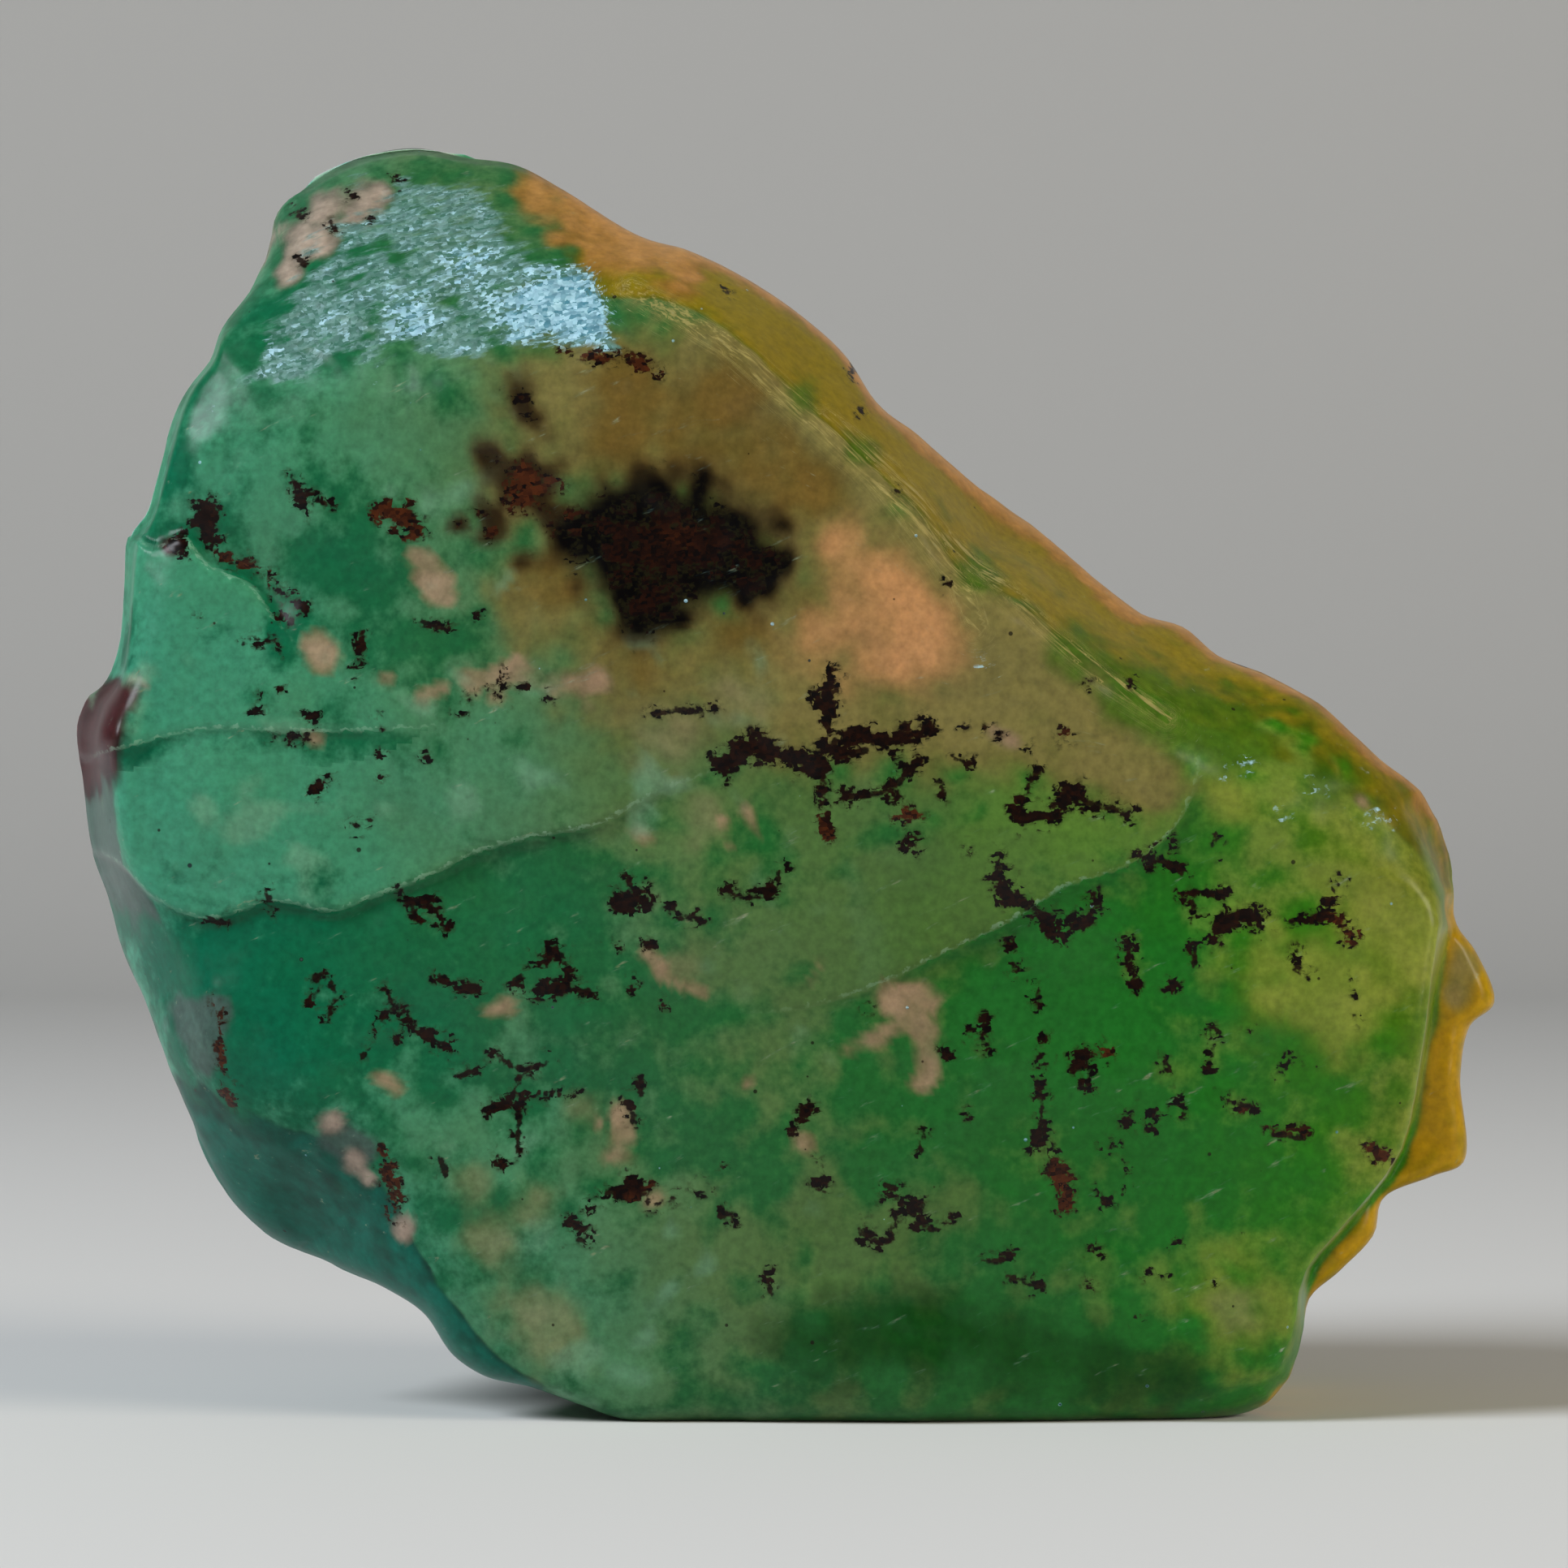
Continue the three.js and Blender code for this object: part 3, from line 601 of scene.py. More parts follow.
# The frosted slope's outline.
FROSTED = [
    (-15.9, 28.2), (-13.6, 28.7), (-10.7, 29.2), (-8.6, 29.3), (-6.8, 29.4), (-4.3, 29.4), (-4.5, 30.3),
    (-4.9, 31.6), (-5.8, 32.5), (-7.2, 33.2), (-8.4, 34.9), (-10.5, 35.5), (-12.6, 35.0), (-14.2, 33.6),
    (-14.6, 31.6),
]

# Where the frost is thin, as strokes: width, then the places it runs through. A single place is a dot.
FROST_GAPS = [
    (0.6, (-14.2, 30.9), (-12.2, 32.2), (-10.4, 33.2), (-9.0, 34.4)),
    (0.3, (-11.6, 30.4), (-9.8, 31.2), (-8.4, 31.9)), (0.4, (-7.6, 33.0), (-6.6, 32.4)),
]

# Mica, as strokes like those.
MICA = [
    # the band right of the middle
    (0.6, (1.3, 20.4), (1.3, 19.7), (1.25, 18.9)), (0.25, (0.9, 19.9), (1.6, 20.1)),
    (0.7, (1.2, 18.5), (2.0, 18.7), (3.0, 18.55), (4.0, 19.0)), (0.4, (1.6, 18.2), (2.3, 18.35)),
    (0.8, (-1.8, 17.9), (-1.2, 18.3), (-0.5, 18.4), (0.2, 18.1), (1.0, 17.9)),
    (0.35, (-1.0, 18.9), (-0.5, 18.7)), (0.3, (1.1, 17.8), (1.1, 16.8)), (0.7, (3.0, 17.1)),
    (0.3, (3.0, 17.2), (1.7, 17.0)), (0.35, (3.1, 17.3), (3.8, 18.0)), (0.3, (4.5, 17.1), (4.4, 17.5)),
    (0.55, (3.6, 15.7)), (0.45, (5.2, 15.5)), (0.25, (4.8, 18.2), (5.2, 18.0)),
    (0.3, (6.9, 17.3), (7.2, 17.8)), (0.55, (8.0, 17.2), (7.4, 16.5), (6.7, 16.4)),
    (0.5, (8.3, 17.1), (8.7, 16.8), (9.4, 16.7), (9.8, 16.4)), (0.3, (6.6, 17.0), (6.6, 16.6)),
    (0.3, (5.1, 19.1)), (0.25, (5.7, 19.0)), (0.2, (6.1, 18.8)), (0.2, (6.9, 18.5)), (0.25, (-2.0, 19.5)),
    (0.12, (-2.3, 19.4), (-3.0, 19.5), (-3.7, 19.4)),
    (0.6, (6.1, 14.9), (6.2, 14.2), (7.0, 13.9), (7.5, 13.6), (7.7, 13.2)), (0.3, (6.0, 15.3), (6.1, 14.9)),
    (0.4, (8.0, 13.4), (8.4, 13.4), (8.9, 13.9)), (0.35, (8.8, 14.3), (8.9, 13.9)), (0.4, (6.4, 13.0)),
    (0.25, (6.6, 12.0), (6.5, 12.3)), (0.4, (7.2, 11.1), (7.2, 11.6)), (0.35, (5.7, 10.7), (5.7, 10.0)),
    (0.3, (5.2, 10.3)),
    # the middle and the left
    (0.7, (-4.5, 14.2), (-4.0, 14.15)), (0.3, (-4.4, 14.7), (-4.3, 14.3)),
    (0.35, (-3.2, 14.0), (-2.9, 13.6), (-2.3, 13.6)),
    (0.2, (-1.7, 14.4), (-1.0, 14.2), (-0.4, 14.3), (0.0, 15.0)), (0.35, (-0.1, 14.9)),
    (0.5, (-6.9, 12.5), (-6.3, 12.6), (-6.1, 12.0), (-6.3, 11.6), (-7.0, 11.6)),
    (0.3, (-6.0, 11.6), (-5.5, 11.5)), (0.3, (-7.7, 11.8), (-7.3, 12.0)), (0.4, (-3.8, 12.8)),
    (0.3, (-4.7, 12.8)), (0.25, (-4.3, 11.7)), (0.3, (-3.4, 11.2)), (0.35, (2.4, 11.2)), (0.35, (4.6, 9.8)),
    (0.4, (-10.9, 14.4), (-10.7, 14.1), (-10.0, 13.9), (-9.6, 13.5)), (0.2, (-10.6, 13.9), (-10.3, 13.5)),
    (0.1, (-13.5, 11.8), (-13.0, 12.0), (-12.6, 11.4), (-13.0, 10.8)), (0.1, (-13.4, 11.2), (-13.2, 11.5)),
    (0.3, (-9.8, 12.0), (-9.3, 11.8)), (0.35, (-9.3, 11.8), (-8.9, 11.5), (-8.6, 11.6)),
    (0.3, (-11.3, 11.6), (-10.8, 10.9), (-10.2, 10.3), (-9.5, 10.0)), (0.25, (-11.4, 10.5), (-11.2, 11.0)),
    (0.2, (-11.7, 10.0), (-11.9, 9.7)), (0.25, (-11.0, 10.2)), (0.25, (-8.7, 9.3), (-9.3, 9.1)),
    (0.25, (-8.2, 9.7), (-7.4, 9.3), (-6.6, 9.5)), (0.2, (-7.4, 9.3), (-7.6, 8.7)),
    (0.25, (-7.5, 8.6), (-6.9, 8.7), (-6.3, 8.6)), (0.2, (-5.9, 8.6)), (0.2, (-8.4, 8.1), (-7.8, 8.4)),
    (0.12, (-7.5, 8.4), (-7.5, 7.0)), (0.2, (-4.1, 9.0), (-4.0, 8.6)), (0.4, (-4.4, 8.3), (-4.2, 7.8)),
    (0.25, (-9.7, 6.8), (-9.5, 6.3)), (0.25, (-8.1, 6.8), (-7.9, 6.6)), (0.65, (-5.9, 4.9)),
    (0.3, (-5.7, 5.4)), (0.3, (-6.1, 4.6), (-5.6, 4.5)),
    (0.4, (-5.0, 5.8), (-4.2, 6.0), (-3.7, 5.5), (-3.1, 5.7)), (0.2, (-4.4, 6.5), (-4.3, 6.0)),
    (0.5, (-2.4, 5.9)), (0.25, (-1.8, 5.2), (-1.4, 5.1)), (0.2, (-1.6, 6.5)),
    (0.3, (-16.3, 13.6), (-15.8, 13.5)), (0.2, (-14.6, 14.4), (-14.5, 13.8)), (0.5, (-13.4, 19.2)),
    (0.3, (-13.5, 18.8)), (0.3, (-13.0, 17.5), (-13.3, 17.2)), (0.3, (-11.4, 17.5)), (0.15, (-11.4, 19.4)),
    (0.15, (-11.35, 18.9)), (0.15, (-11.4, 18.3)), (0.2, (-12.2, 16.2), (-11.7, 16.4)), (0.2, (-10.1, 18.2)),
    (0.3, (-12.1, 20.6)), (0.25, (-11.9, 21.7), (-12.0, 21.2)), (0.3, (-8.7, 22.0)),
    (0.2, (-10.3, 22.0), (-9.9, 21.9), (-9.5, 21.8)), (0.3, (-8.1, 20.3), (-7.9, 20.5)), (0.35, (-7.3, 20.1)),
    (0.3, (-6.6, 19.8)), (0.3, (-7.9, 19.8)), (0.25, (-8.9, 19.8)), (0.25, (-9.1, 19.4)),
    (0.25, (-15.3, 21.4), (-14.5, 21.6)), (0.2, (-14.2, 21.2)), (0.2, (-16.6, 22.1)), (0.25, (-14.8, 20.0)),
    (0.2, (-14.2, 20.1)), (0.2, (-14.9, 19.4)), (0.2, (-14.5, 18.7)), (0.2, (-13.9, 18.6)),
    # the left edge's dark growths
    (0.7, (-16.3, 25.3), (-16.3, 24.4)), (0.45, (-17.1, 24.0), (-17.2, 24.3)),
    (0.3, (-13.9, 26.1), (-13.8, 25.7)), (0.55, (-13.7, 25.6), (-13.4, 25.3)),
    (0.3, (-13.2, 25.4), (-12.7, 25.3)), (0.35, (-14.3, 22.8), (-13.8, 22.7)),
    (0.35, (-14.3, 22.1), (-13.9, 22.0)), (0.4, (-13.7, 22.4)),
    # the lower middle and the right
    (0.3, (-0.4, 3.5), (-0.4, 3.0)), (0.3, (0.7, 8.2), (0.6, 7.8)), (0.25, (0.6, 7.8), (0.2, 7.6)),
    (0.12, (3.9, 7.6), (3.9, 7.0)), (0.2, (1.0, 6.8), (1.2, 5.9), (0.8, 6.0)), (0.4, (2.2, 4.8)),
    (0.3, (2.2, 4.7), (2.7, 4.4), (3.1, 4.7)), (0.25, (3.1, 4.7), (3.2, 5.4), (3.1, 6.0), (2.8, 6.0)),
    (0.35, (3.9, 5.6), (3.8, 4.9), (4.3, 4.8)), (0.3, (4.3, 4.8), (4.8, 5.1)), (0.2, (4.3, 6.0)),
    (0.3, (5.6, 4.0), (6.1, 3.9), (6.5, 4.1)), (0.25, (6.3, 3.5), (6.8, 3.3), (7.4, 3.2)),
    (0.3, (7.2, 9.0), (7.3, 8.0)), (0.4, (7.3, 8.0), (7.2, 7.2)), (0.65, (7.2, 7.1)), (0.4, (7.5, 6.6)),
    (0.3, (7.4, 10.2), (7.2, 9.4)), (0.4, (8.4, 9.8), (8.6, 9.0)), (0.3, (8.2, 9.3), (8.7, 9.4)),
    (0.4, (9.7, 12.9), (9.8, 12.0)), (0.35, (9.8, 12.0), (10.1, 11.5)), (0.5, (10.9, 11.6)),
    (0.25, (9.7, 8.0), (9.8, 7.8)), (0.3, (10.4, 7.8), (10.5, 8.2)), (0.4, (9.2, 7.1)), (0.3, (9.6, 6.8)),
    (0.35, (9.0, 5.8), (9.2, 5.4)), (0.3, (9.9, 6.0)), (0.25, (10.9, 9.3), (10.8, 9.6)),
    (0.3, (11.2, 8.7), (11.3, 8.0)), (0.45, (11.2, 14.3), (11.9, 14.35), (12.5, 14.2)),
    (0.14, (11.6, 14.0), (11.6, 12.3)), (0.15, (12.1, 10.3), (12.0, 9.3)), (0.3, (12.0, 10.5), (12.3, 10.4)),
    (0.4, (10.1, 15.3), (10.9, 15.2), (11.3, 14.9)), (0.3, (10.5, 15.6)), (0.3, (11.0, 15.8)),
    (0.3, (12.2, 16.0), (12.2, 15.6)), (0.35, (12.2, 12.9), (12.3, 13.5)),
    (0.5, (12.3, 13.5), (13.0, 13.65), (13.6, 13.6)), (0.3, (14.3, 13.5), (15.3, 13.6), (15.7, 14.7)),
    (0.35, (15.6, 14.3)), (0.15, (14.6, 12.9), (14.5, 12.2), (14.9, 11.9)), (0.2, (13.8, 7.5), (14.7, 7.4)),
    (0.2, (14.4, 9.7), (14.1, 9.2)), (0.15, (16.1, 12.0)), (0.15, (16.2, 11.4)), (0.15, (16.2, 10.8)),
    (0.2, (8.8, 4.2)), (0.2, (8.7, 3.2)), (0.2, (10.3, 3.7)), (0.15, (10.8, 3.6)), (0.2, (10.0, 2.3)),
    (0.2, (11.1, 4.5)), (0.2, (13.0, 4.7)), (0.2, (12.2, 3.2)), (0.25, (12.6, 8.4), (13.2, 8.3)),
    (0.25, (13.3, 10.4)), (0.2, (5.3, 8.0)), (0.2, (8.6, 20.3)), (0.25, (9.8, 20.3)), (0.2, (4.7, 23.0)),
    (0.2, (2.0, 29.2)), (0.2, (-1.6, 31.4)), (0.2, (-13.0, 33.6), (-12.8, 33.3)), (0.2, (-12.4, 34.4)),
    (0.2, (-13.9, 32.5), (-13.6, 32.2)), (0.2, (-11.8, 33.6)), (0.2, (-13.9, 33.8)), (0.15, (-11.2, 34.9)),
    (0.25, (2.2, 28.0)), (0.25, (3.2, 25.7)),
]

# Brown and red-brown mica, thinner and lit from within.
RUST = [
    (0.8, (-11.2, 25.1), (-10.9, 25.0), (-10.5, 24.6)), (0.3, (-6.3, 29.6), (-5.0, 29.5), (-3.5, 29.2)),
    (0.35, (-16.0, 23.9), (-15.2, 23.6), (-14.4, 23.1)), (0.45, (-11.3, 7.0), (-11.1, 6.3), (-11.0, 5.3)),
    (0.6, (7.6, 6.6), (7.9, 6.0), (8.0, 5.5)), (0.35, (1.1, 16.8), (1.2, 15.9)), (0.5, (8.0, 18.7)),
    (0.6, (15.5, 13.6), (16.0, 13.2)), (0.25, (13.8, 7.6), (14.7, 7.5)), (0.3, (13.0, 8.2)),
    (0.45, (17.1, 6.8), (16.7, 7.0)), (0.6, (-6.6, 25.9), (-7.6, 25.3)), (0.25, (9.0, 10.2), (9.2, 9.7)),
    (0.3, (-14.2, 22.4)), (0.4, (3.2, 16.6), (3.8, 16.6)), (0.35, (-4.3, 5.7), (-3.8, 6.0)),
    (0.2, (-16.0, 11.2), (-15.9, 9.8), (-15.7, 8.3)),
]

# Grains of pale feldspar.
GRAINS = [
    (0.9, (-10.1, 23.4), (-9.8, 23.0)), (0.4, (-10.4, 23.8), (-9.5, 22.7)),
    (0.7, (-13.2, 21.3), (-13.0, 21.0)), (0.5, (-11.2, 20.4)), (0.5, (-10.2, 19.9), (-9.7, 20.1)),
    (0.7, (-8.8, 20.3), (-7.6, 20.6), (-6.4, 20.2), (-5.2, 20.3)), (0.5, (-8.2, 19.9)), (0.4, (-5.6, 19.7)),
    (0.75, (-4.6, 8.0), (-4.5, 7.2)), (0.35, (-5.2, 7.8)), (0.35, (-4.9, 6.9), (-4.3, 6.9)),
    (0.9, (3.1, 11.2), (4.1, 11.4)), (0.8, (3.4, 10.8), (4.1, 10.2)), (0.7, (4.1, 10.0), (4.0, 9.0)),
    (0.5, (1.9, 9.9), (2.5, 10.2), (3.2, 10.5)), (0.4, (-3.8, 12.6), (-3.5, 12.1)),
    (0.25, (-3.4, 11.9), (-2.3, 11.4)), (0.35, (-8.3, 10.9), (-7.9, 11.1)), (0.3, (-1.0, 8.9)),
    (0.35, (0.2, 7.6), (0.6, 7.2)), (0.5, (-3.7, 5.6)), (0.5, (-13.3, 18.7)), (0.4, (-4.0, 16.0)),
    (0.35, (-1.0, 16.6), (-0.6, 15.8)), (0.3, (-1.5, 15.6)), (0.3, (-1.7, 16.4)), (0.35, (16.4, 16.9)),
    (0.3, (-10.7, 4.7)), (0.25, (-11.4, 9.1), (-10.9, 8.8)), (0.35, (1.0, 12.2), (0.7, 11.8)),
    (0.3, (6.0, 18.9), (6.5, 18.6)),
]

# A soft, dark cloud of fine mica inside the stone: its outline, and the small clouds beside it.
CLOUD = [
    (-6.2, 24.5), (-5.9, 25.1), (-5.0, 25.7), (-4.0, 26.1), (-3.0, 25.9), (-2.2, 26.2), (-1.5, 25.3),
    (-0.2, 24.6), (0.2, 23.8), (-0.2, 22.9), (-1.5, 22.6), (-2.8, 22.7), (-2.9, 21.8), (-4.2, 21.5),
    (-4.9, 22.3), (-5.2, 23.2), (-5.9, 23.9),
]
CLOUDLETS = [
    (1.2, (-7.4, 26.1), (-7.0, 25.9)), (0.45, (-8.6, 25.1), (-8.3, 24.4)), (0.35, (-9.1, 24.8)),
    (0.4, (-7.3, 24.0)), (0.45, (-7.5, 28.5), (-7.2, 27.8)), (0.4, (-6.6, 27.2)),
    (0.6, (-6.9, 25.2), (-6.2, 24.9)), (0.4, (-8.2, 26.6)), (0.35, (-7.9, 25.6)),
]
# Where the cloud is thinner and browner.
CLOUD_WINDOW = [(1.0, (-4.0, 24.9), (-3.4, 24.3), (-2.6, 24.6)), (0.6, (-3.9, 23.7), (-3.2, 23.3))]

# Colour in the stone's body, as soft pools: x, z, radius.
POOLS = {
    # cloudy white beryl
    "milk": [
        (-14.9, 26.0, 1.8), (-12.6, 27.8, 1.6), (-16.8, 21.5, 2.4), (-17.0, 17.5, 2.2), (-15.0, 16.3, 2.4),
        (-11.5, 16.6, 2.8), (-7.5, 17.5, 2.4), (-4.0, 19.2, 2.3), (-1.5, 19.8, 1.8), (-7.0, 2.6, 2.0),
        (-5.5, 1.3, 1.6), (-3.2, 3.8, 2.2), (1.4, 3.9, 1.4), (3.8, 4.6, 1.4), (-4.2, 18.2, 2.0),
        (-10.0, 27.3, 2.2), (0.3, 12.8, 2.6), (3.2, 14.2, 2.4), (-8.5, 7.0, 1.4), (6.2, 14.9, 1.8),
        (10.0, 15.0, 1.0), (-7.0, 22.0, 1.5), (11.2, 10.2, 1.0), (13.0, 9.0, 0.9), (12.4, 4.6, 1.0),
        (9.4, 3.4, 0.9), (-14.4, 25.4, 0.9), (12.6, 18.6, 1.3), (14.6, 17.8, 1.3),
    ],
    # clear, deeply coloured beryl
    "deep": [
        (-13.0, 12.2, 3.0), (-10.0, 12.4, 2.2), (-8.0, 13.6, 2.0), (8.4, 11.6, 2.6), (9.4, 8.6, 2.4),
        (6.6, 9.0, 2.0), (7.6, 12.6, 1.8), (11.5, 5.6, 2.0), (1.6, 1.5, 1.8), (4.4, 1.9, 2.2),
        (7.4, 1.0, 2.2), (10.4, 1.2, 2.2), (-13.2, 22.8, 1.6), (-9.6, 21.4, 1.2), (-14.6, 10.4, 1.6),
        (2.6, 7.6, 1.6), (-11.0, 24.0, 1.2), (-8.7, 5.0, 1.2), (14.6, 8.8, 2.0), (13.2, 6.2, 1.8),
        (-0.8, 5.4, 1.6), (6.3, 6.2, 1.5),
    ],
    # warm, peach-coloured feldspar under the surface
    "peach": [
        (3.4, 22.2, 1.5), (2.5, 23.3, 1.3), (1.0, 21.6, 1.3), (4.4, 21.2, 1.0), (1.4, 24.4, 0.7),
        (2.9, 20.6, 0.9), (3.9, 21.7, 0.7),
    ],
    # yellow: stained stone, with a painted glow of light through it where it is thin
    "gold_and_painted_glow": [
        (14.4, 11.8, 2.1), (17.0, 13.4, 1.6), (13.0, 2.6, 2.0), (18.8, 12.3, 1.4), (15.8, 10.6, 1.1),
        (12.6, 17.0, 0.9),
    ],
    # warm haze between the cloud and the long crest
    "tan": [
        (-3.0, 27.8, 2.6), (-6.0, 28.2, 2.0), (0.2, 25.6, 2.0), (-1.0, 20.6, 2.2), (-4.5, 20.4, 1.8),
        (1.4, 19.6, 1.6), (-7.0, 22.6, 1.4), (-7.4, 25.8, 1.1), (2.0, 22.0, 2.4), (5.4, 20.6, 1.6),
        (7.0, 19.2, 1.5), (9.0, 18.4, 1.3), (4.6, 18.8, 1.2), (2.2, 26.4, 1.4), (-1.0, 29.2, 1.6),
        (4.0, 24.2, 1.2), (5.3, 22.4, 1.2), (6.8, 21.3, 1.2), (8.4, 20.3, 1.1), (10.3, 17.6, 1.2),
        (1.0, 28.0, 1.2),
    ],
    # painted shade: the foot darkened to bottle green
    "painted_foot_shade": [
        (0.6, 1.6, 1.3), (2.6, 1.9, 1.3), (4.6, 1.8, 1.4), (6.8, 1.2, 1.3), (9.0, 0.9, 1.2), (11.2, 0.6, 1.1),
    ],
    # green band along the long slope
    "moss": [
        (5.6, 23.4, 0.8), (8.3, 21.2, 0.9), (9.9, 20.0, 1.2), (11.6, 19.2, 1.3), (13.2, 18.5, 1.0),
        (15.2, 17.3, 0.8), (0.6, 28.4, 0.6), (2.2, 26.9, 0.6),
    ],
    # sandy, sugar-grained beryl
    "sand": [
        (-7.4, 2.6, 1.3), (-6.2, 1.5, 1.2), (-8.4, 4.6, 0.9), (-8.9, 6.2, 0.8), (-7.0, 5.6, 0.8),
        (-2.2, 16.4, 1.0), (-3.4, 18.6, 1.3), (-1.2, 20.0, 1.2), (-5.6, 8.2, 0.7), (-3.0, 12.2, 0.7),
        (12.9, 2.6, 1.0), (19.2, 12.3, 0.7), (19.0, 11.4, 0.5),
    ],
    # tan and white crust: the top corner, above the bead, and low on the left
    "crust": [
        (-13.9, 33.1, 0.7), (-13.2, 32.8, 0.5), (-12.4, 33.9, 0.7), (-11.6, 34.4, 0.5), (-13.3, 34.0, 0.4),
        (-14.1, 32.0, 0.5), (-18.4, 20.2, 0.35), (-10.7, 4.8, 0.38), (-12.8, 7.8, 0.4), (-12.1, 6.8, 0.42),
        (-11.7, 6.2, 0.25),
    ],
    # the maroon bead on the left edge
    "maroon": [
        (-19.5, 19.0, 1.0), (-19.9, 18.0, 0.9), (-19.1, 19.7, 0.6), (-18.5, 19.9, 0.3), (-17.3, 24.1, 0.4),
    ],
    # painted glints: where facets catch the light, on the frosted slope's brightest part and the right
    # shoulder
    "shine": [
        (-6.2, 31.3, 1.3), (-6.2, 30.9, 0.8), (-7.4, 30.5, 0.9), (-5.3, 30.5, 0.7), (-9.0, 32.2, 0.7),
        (-10.6, 30.6, 0.8), (-14.6, 29.8, 0.3), (-11.6, 28.9, 0.35), (-16.2, 28.0, 0.35), (12.7, 17.6, 0.5),
        (14.0, 16.5, 0.5), (15.1, 17.5, 0.7), (16.4, 16.5, 0.6), (17.3, 16.5, 0.5), (5.6, 20.8, 0.5),
        (13.2, 18.1, 0.4),
    ],
    # iron stain
    "stain": [
        (-2.6, 27.4, 1.6), (-0.2, 26.3, 1.5), (1.2, 25.6, 1.1), (-1.4, 28.8, 1.3), (-4.6, 28.9, 1.2),
        (-4.9, 27.0, 1.2), (-6.6, 23.0, 1.3), (-1.2, 21.6, 1.2), (-4.2, 20.6, 1.2), (0.9, 22.6, 0.9),
    ],
}

# Tan-orange stone along the top of the slope: x, z, radius.
AMBER_EDGE = [(-5.7, 33.5, 1.2), (-4.2, 32.4, 1.0), (-7.2, 34.5, 0.8), (-2.8, 31.8, 0.7)]

# Fibres run along the crest of the long slope, in two lines.
FIBRES = [
    (0.5, (-4.2, 31.0), (-1.6, 29.4), (0.2, 27.8), (2.0, 26.2), (3.4, 24.7), (4.8, 22.8), (5.2, 21.6)),
    (0.4, (1.2, 27.4), (3.0, 26.0), (4.4, 24.2), (6.0, 22.8), (7.4, 21.4), (8.8, 20.2), (10.4, 19.2)),
]

# Grey crusts on the left: x, z, radius.
GREY_PATCHES = [
    (-16.9, 10.7, 0.75), (-16.3, 9.6, 0.6), (-16.0, 11.0, 0.5), (-12.6, 7.3, 0.7), (-11.8, 7.0, 0.5),
]


def stroke_gap(x, z, strokes, widths=1.0):
    """Distance outside the nearest stroke's edge, in mm."""
    gap = np.full(x.shape, FAR)
    for width, *places in strokes:
        line = places * 2 if len(places) == 1 else places
        gap = np.minimum(gap, nearest(x, z, line)[0] - widths * width / 2)
    return gap


# How far, in mm, the colour of the rim, the amber of the long slope, a fibre and a gap in the frost fade out,
# and how much frost such a gap takes away.
NEAR_RIM, AMBER_RIM, FIBRE_EDGE, FROST_GAP_EDGE = 1.1, 0.25, 0.35, 0.5
FROST_THINNED = 0.3
CREST_EDGE = 0.9  # the steps' shade fades out within this of the outline
WANDER = 9.0  # how far the zones wander on the sides and the back
BEAD_REACH = 2.6  # how far back the maroon bead's colour goes


def mark_fields(x, z):
    """Distances outside the marks' edges, in mm, at places on a face."""
    distance, _ = nearest(x, z, CLOUD, closed=True)
    cloud = np.where(within(x, z, np.array(CLOUD)), -distance, distance)
    return {
        "mica": stroke_gap(x, z, MICA),
        "thread": stroke_gap(x, z, MICA, widths=0),
        "rust": stroke_gap(x, z, RUST),
        "grain": np.minimum(0.6 - 1.7 * stroke_gap(x, z, GRAINS), 0.85),
        "cloud": cloud,
        "cloudlet": stroke_gap(x, z, CLOUDLETS, widths=1.4),
        "window": stroke_gap(x, z, CLOUD_WINDOW),
    }


GAP_NAMES = ("mica", "thread", "rust", "cloud", "cloudlet", "window")


def far_marks(x):
    """No marks, as on the sides."""
    return {**{name: np.full(x.shape, FAR) for name in GAP_NAMES}, "grain": np.zeros(x.shape)}


def zone_fields(x, z, inside, keep, drawn=None):
    """Weights of the body's colour pools and of the outer slopes, at places `inside` mm from the outline."""
    at = drawn or (x, z)
    fields = {name: pool(*at, places) for name, places in POOLS.items()}
    beyond, _ = beyond_brow(x, z)
    outer = rising(beyond, 0, 0.4) * keep
    near_rim = np.exp(-inside / NEAR_RIM)
    depth = 0.75 - 0.45 * rising(x, 10, 14) + 0.3 * rising(x, 5, 1) + 0.7 * near_rim
    fields["olive"] = outer * rising(x, -7, -4) * rising(z, 13, 17) * depth
    fields["blue"] = outer * rising(x, -5, -8) * rising(z, 10, 7.5) * (0.8 + 0.5 * near_rim)
    strip = outer * rising(x, -16, -17.5) * rising(z, 12, 15) * rising(z, 20.5, 19)
    fields["grey"] = strip + keep * pool(*at, GREY_PATCHES)
    # The thin right lip: its own yellow, with a painted glow of warm light through it.
    fields["flange_and_painted_glow"] = rising(beyond, 0.5, 1) * keep * rising(x, 12.5, 14) * rising(z, 15, 13.5)
    fields["amber"] = fields["olive"] * np.exp(-inside / AMBER_RIM) + keep * pool(*at, AMBER_EDGE)
    thin = np.exp(-((np.maximum(stroke_gap(*at, FROST_GAPS), 0) / FROST_GAP_EDGE) ** 2))
    bare = 0.5 * rising(fields["crust"], 0.1, 0.6)
    fields["frost"] = frost_cover(*at) * keep * (1 - bare) * (1 - FROST_THINNED * thin)
    fields["fibres"] = np.exp(-np.maximum(stroke_gap(x, z, FIBRES), 0) / FIBRE_EDGE) * keep
    return fields


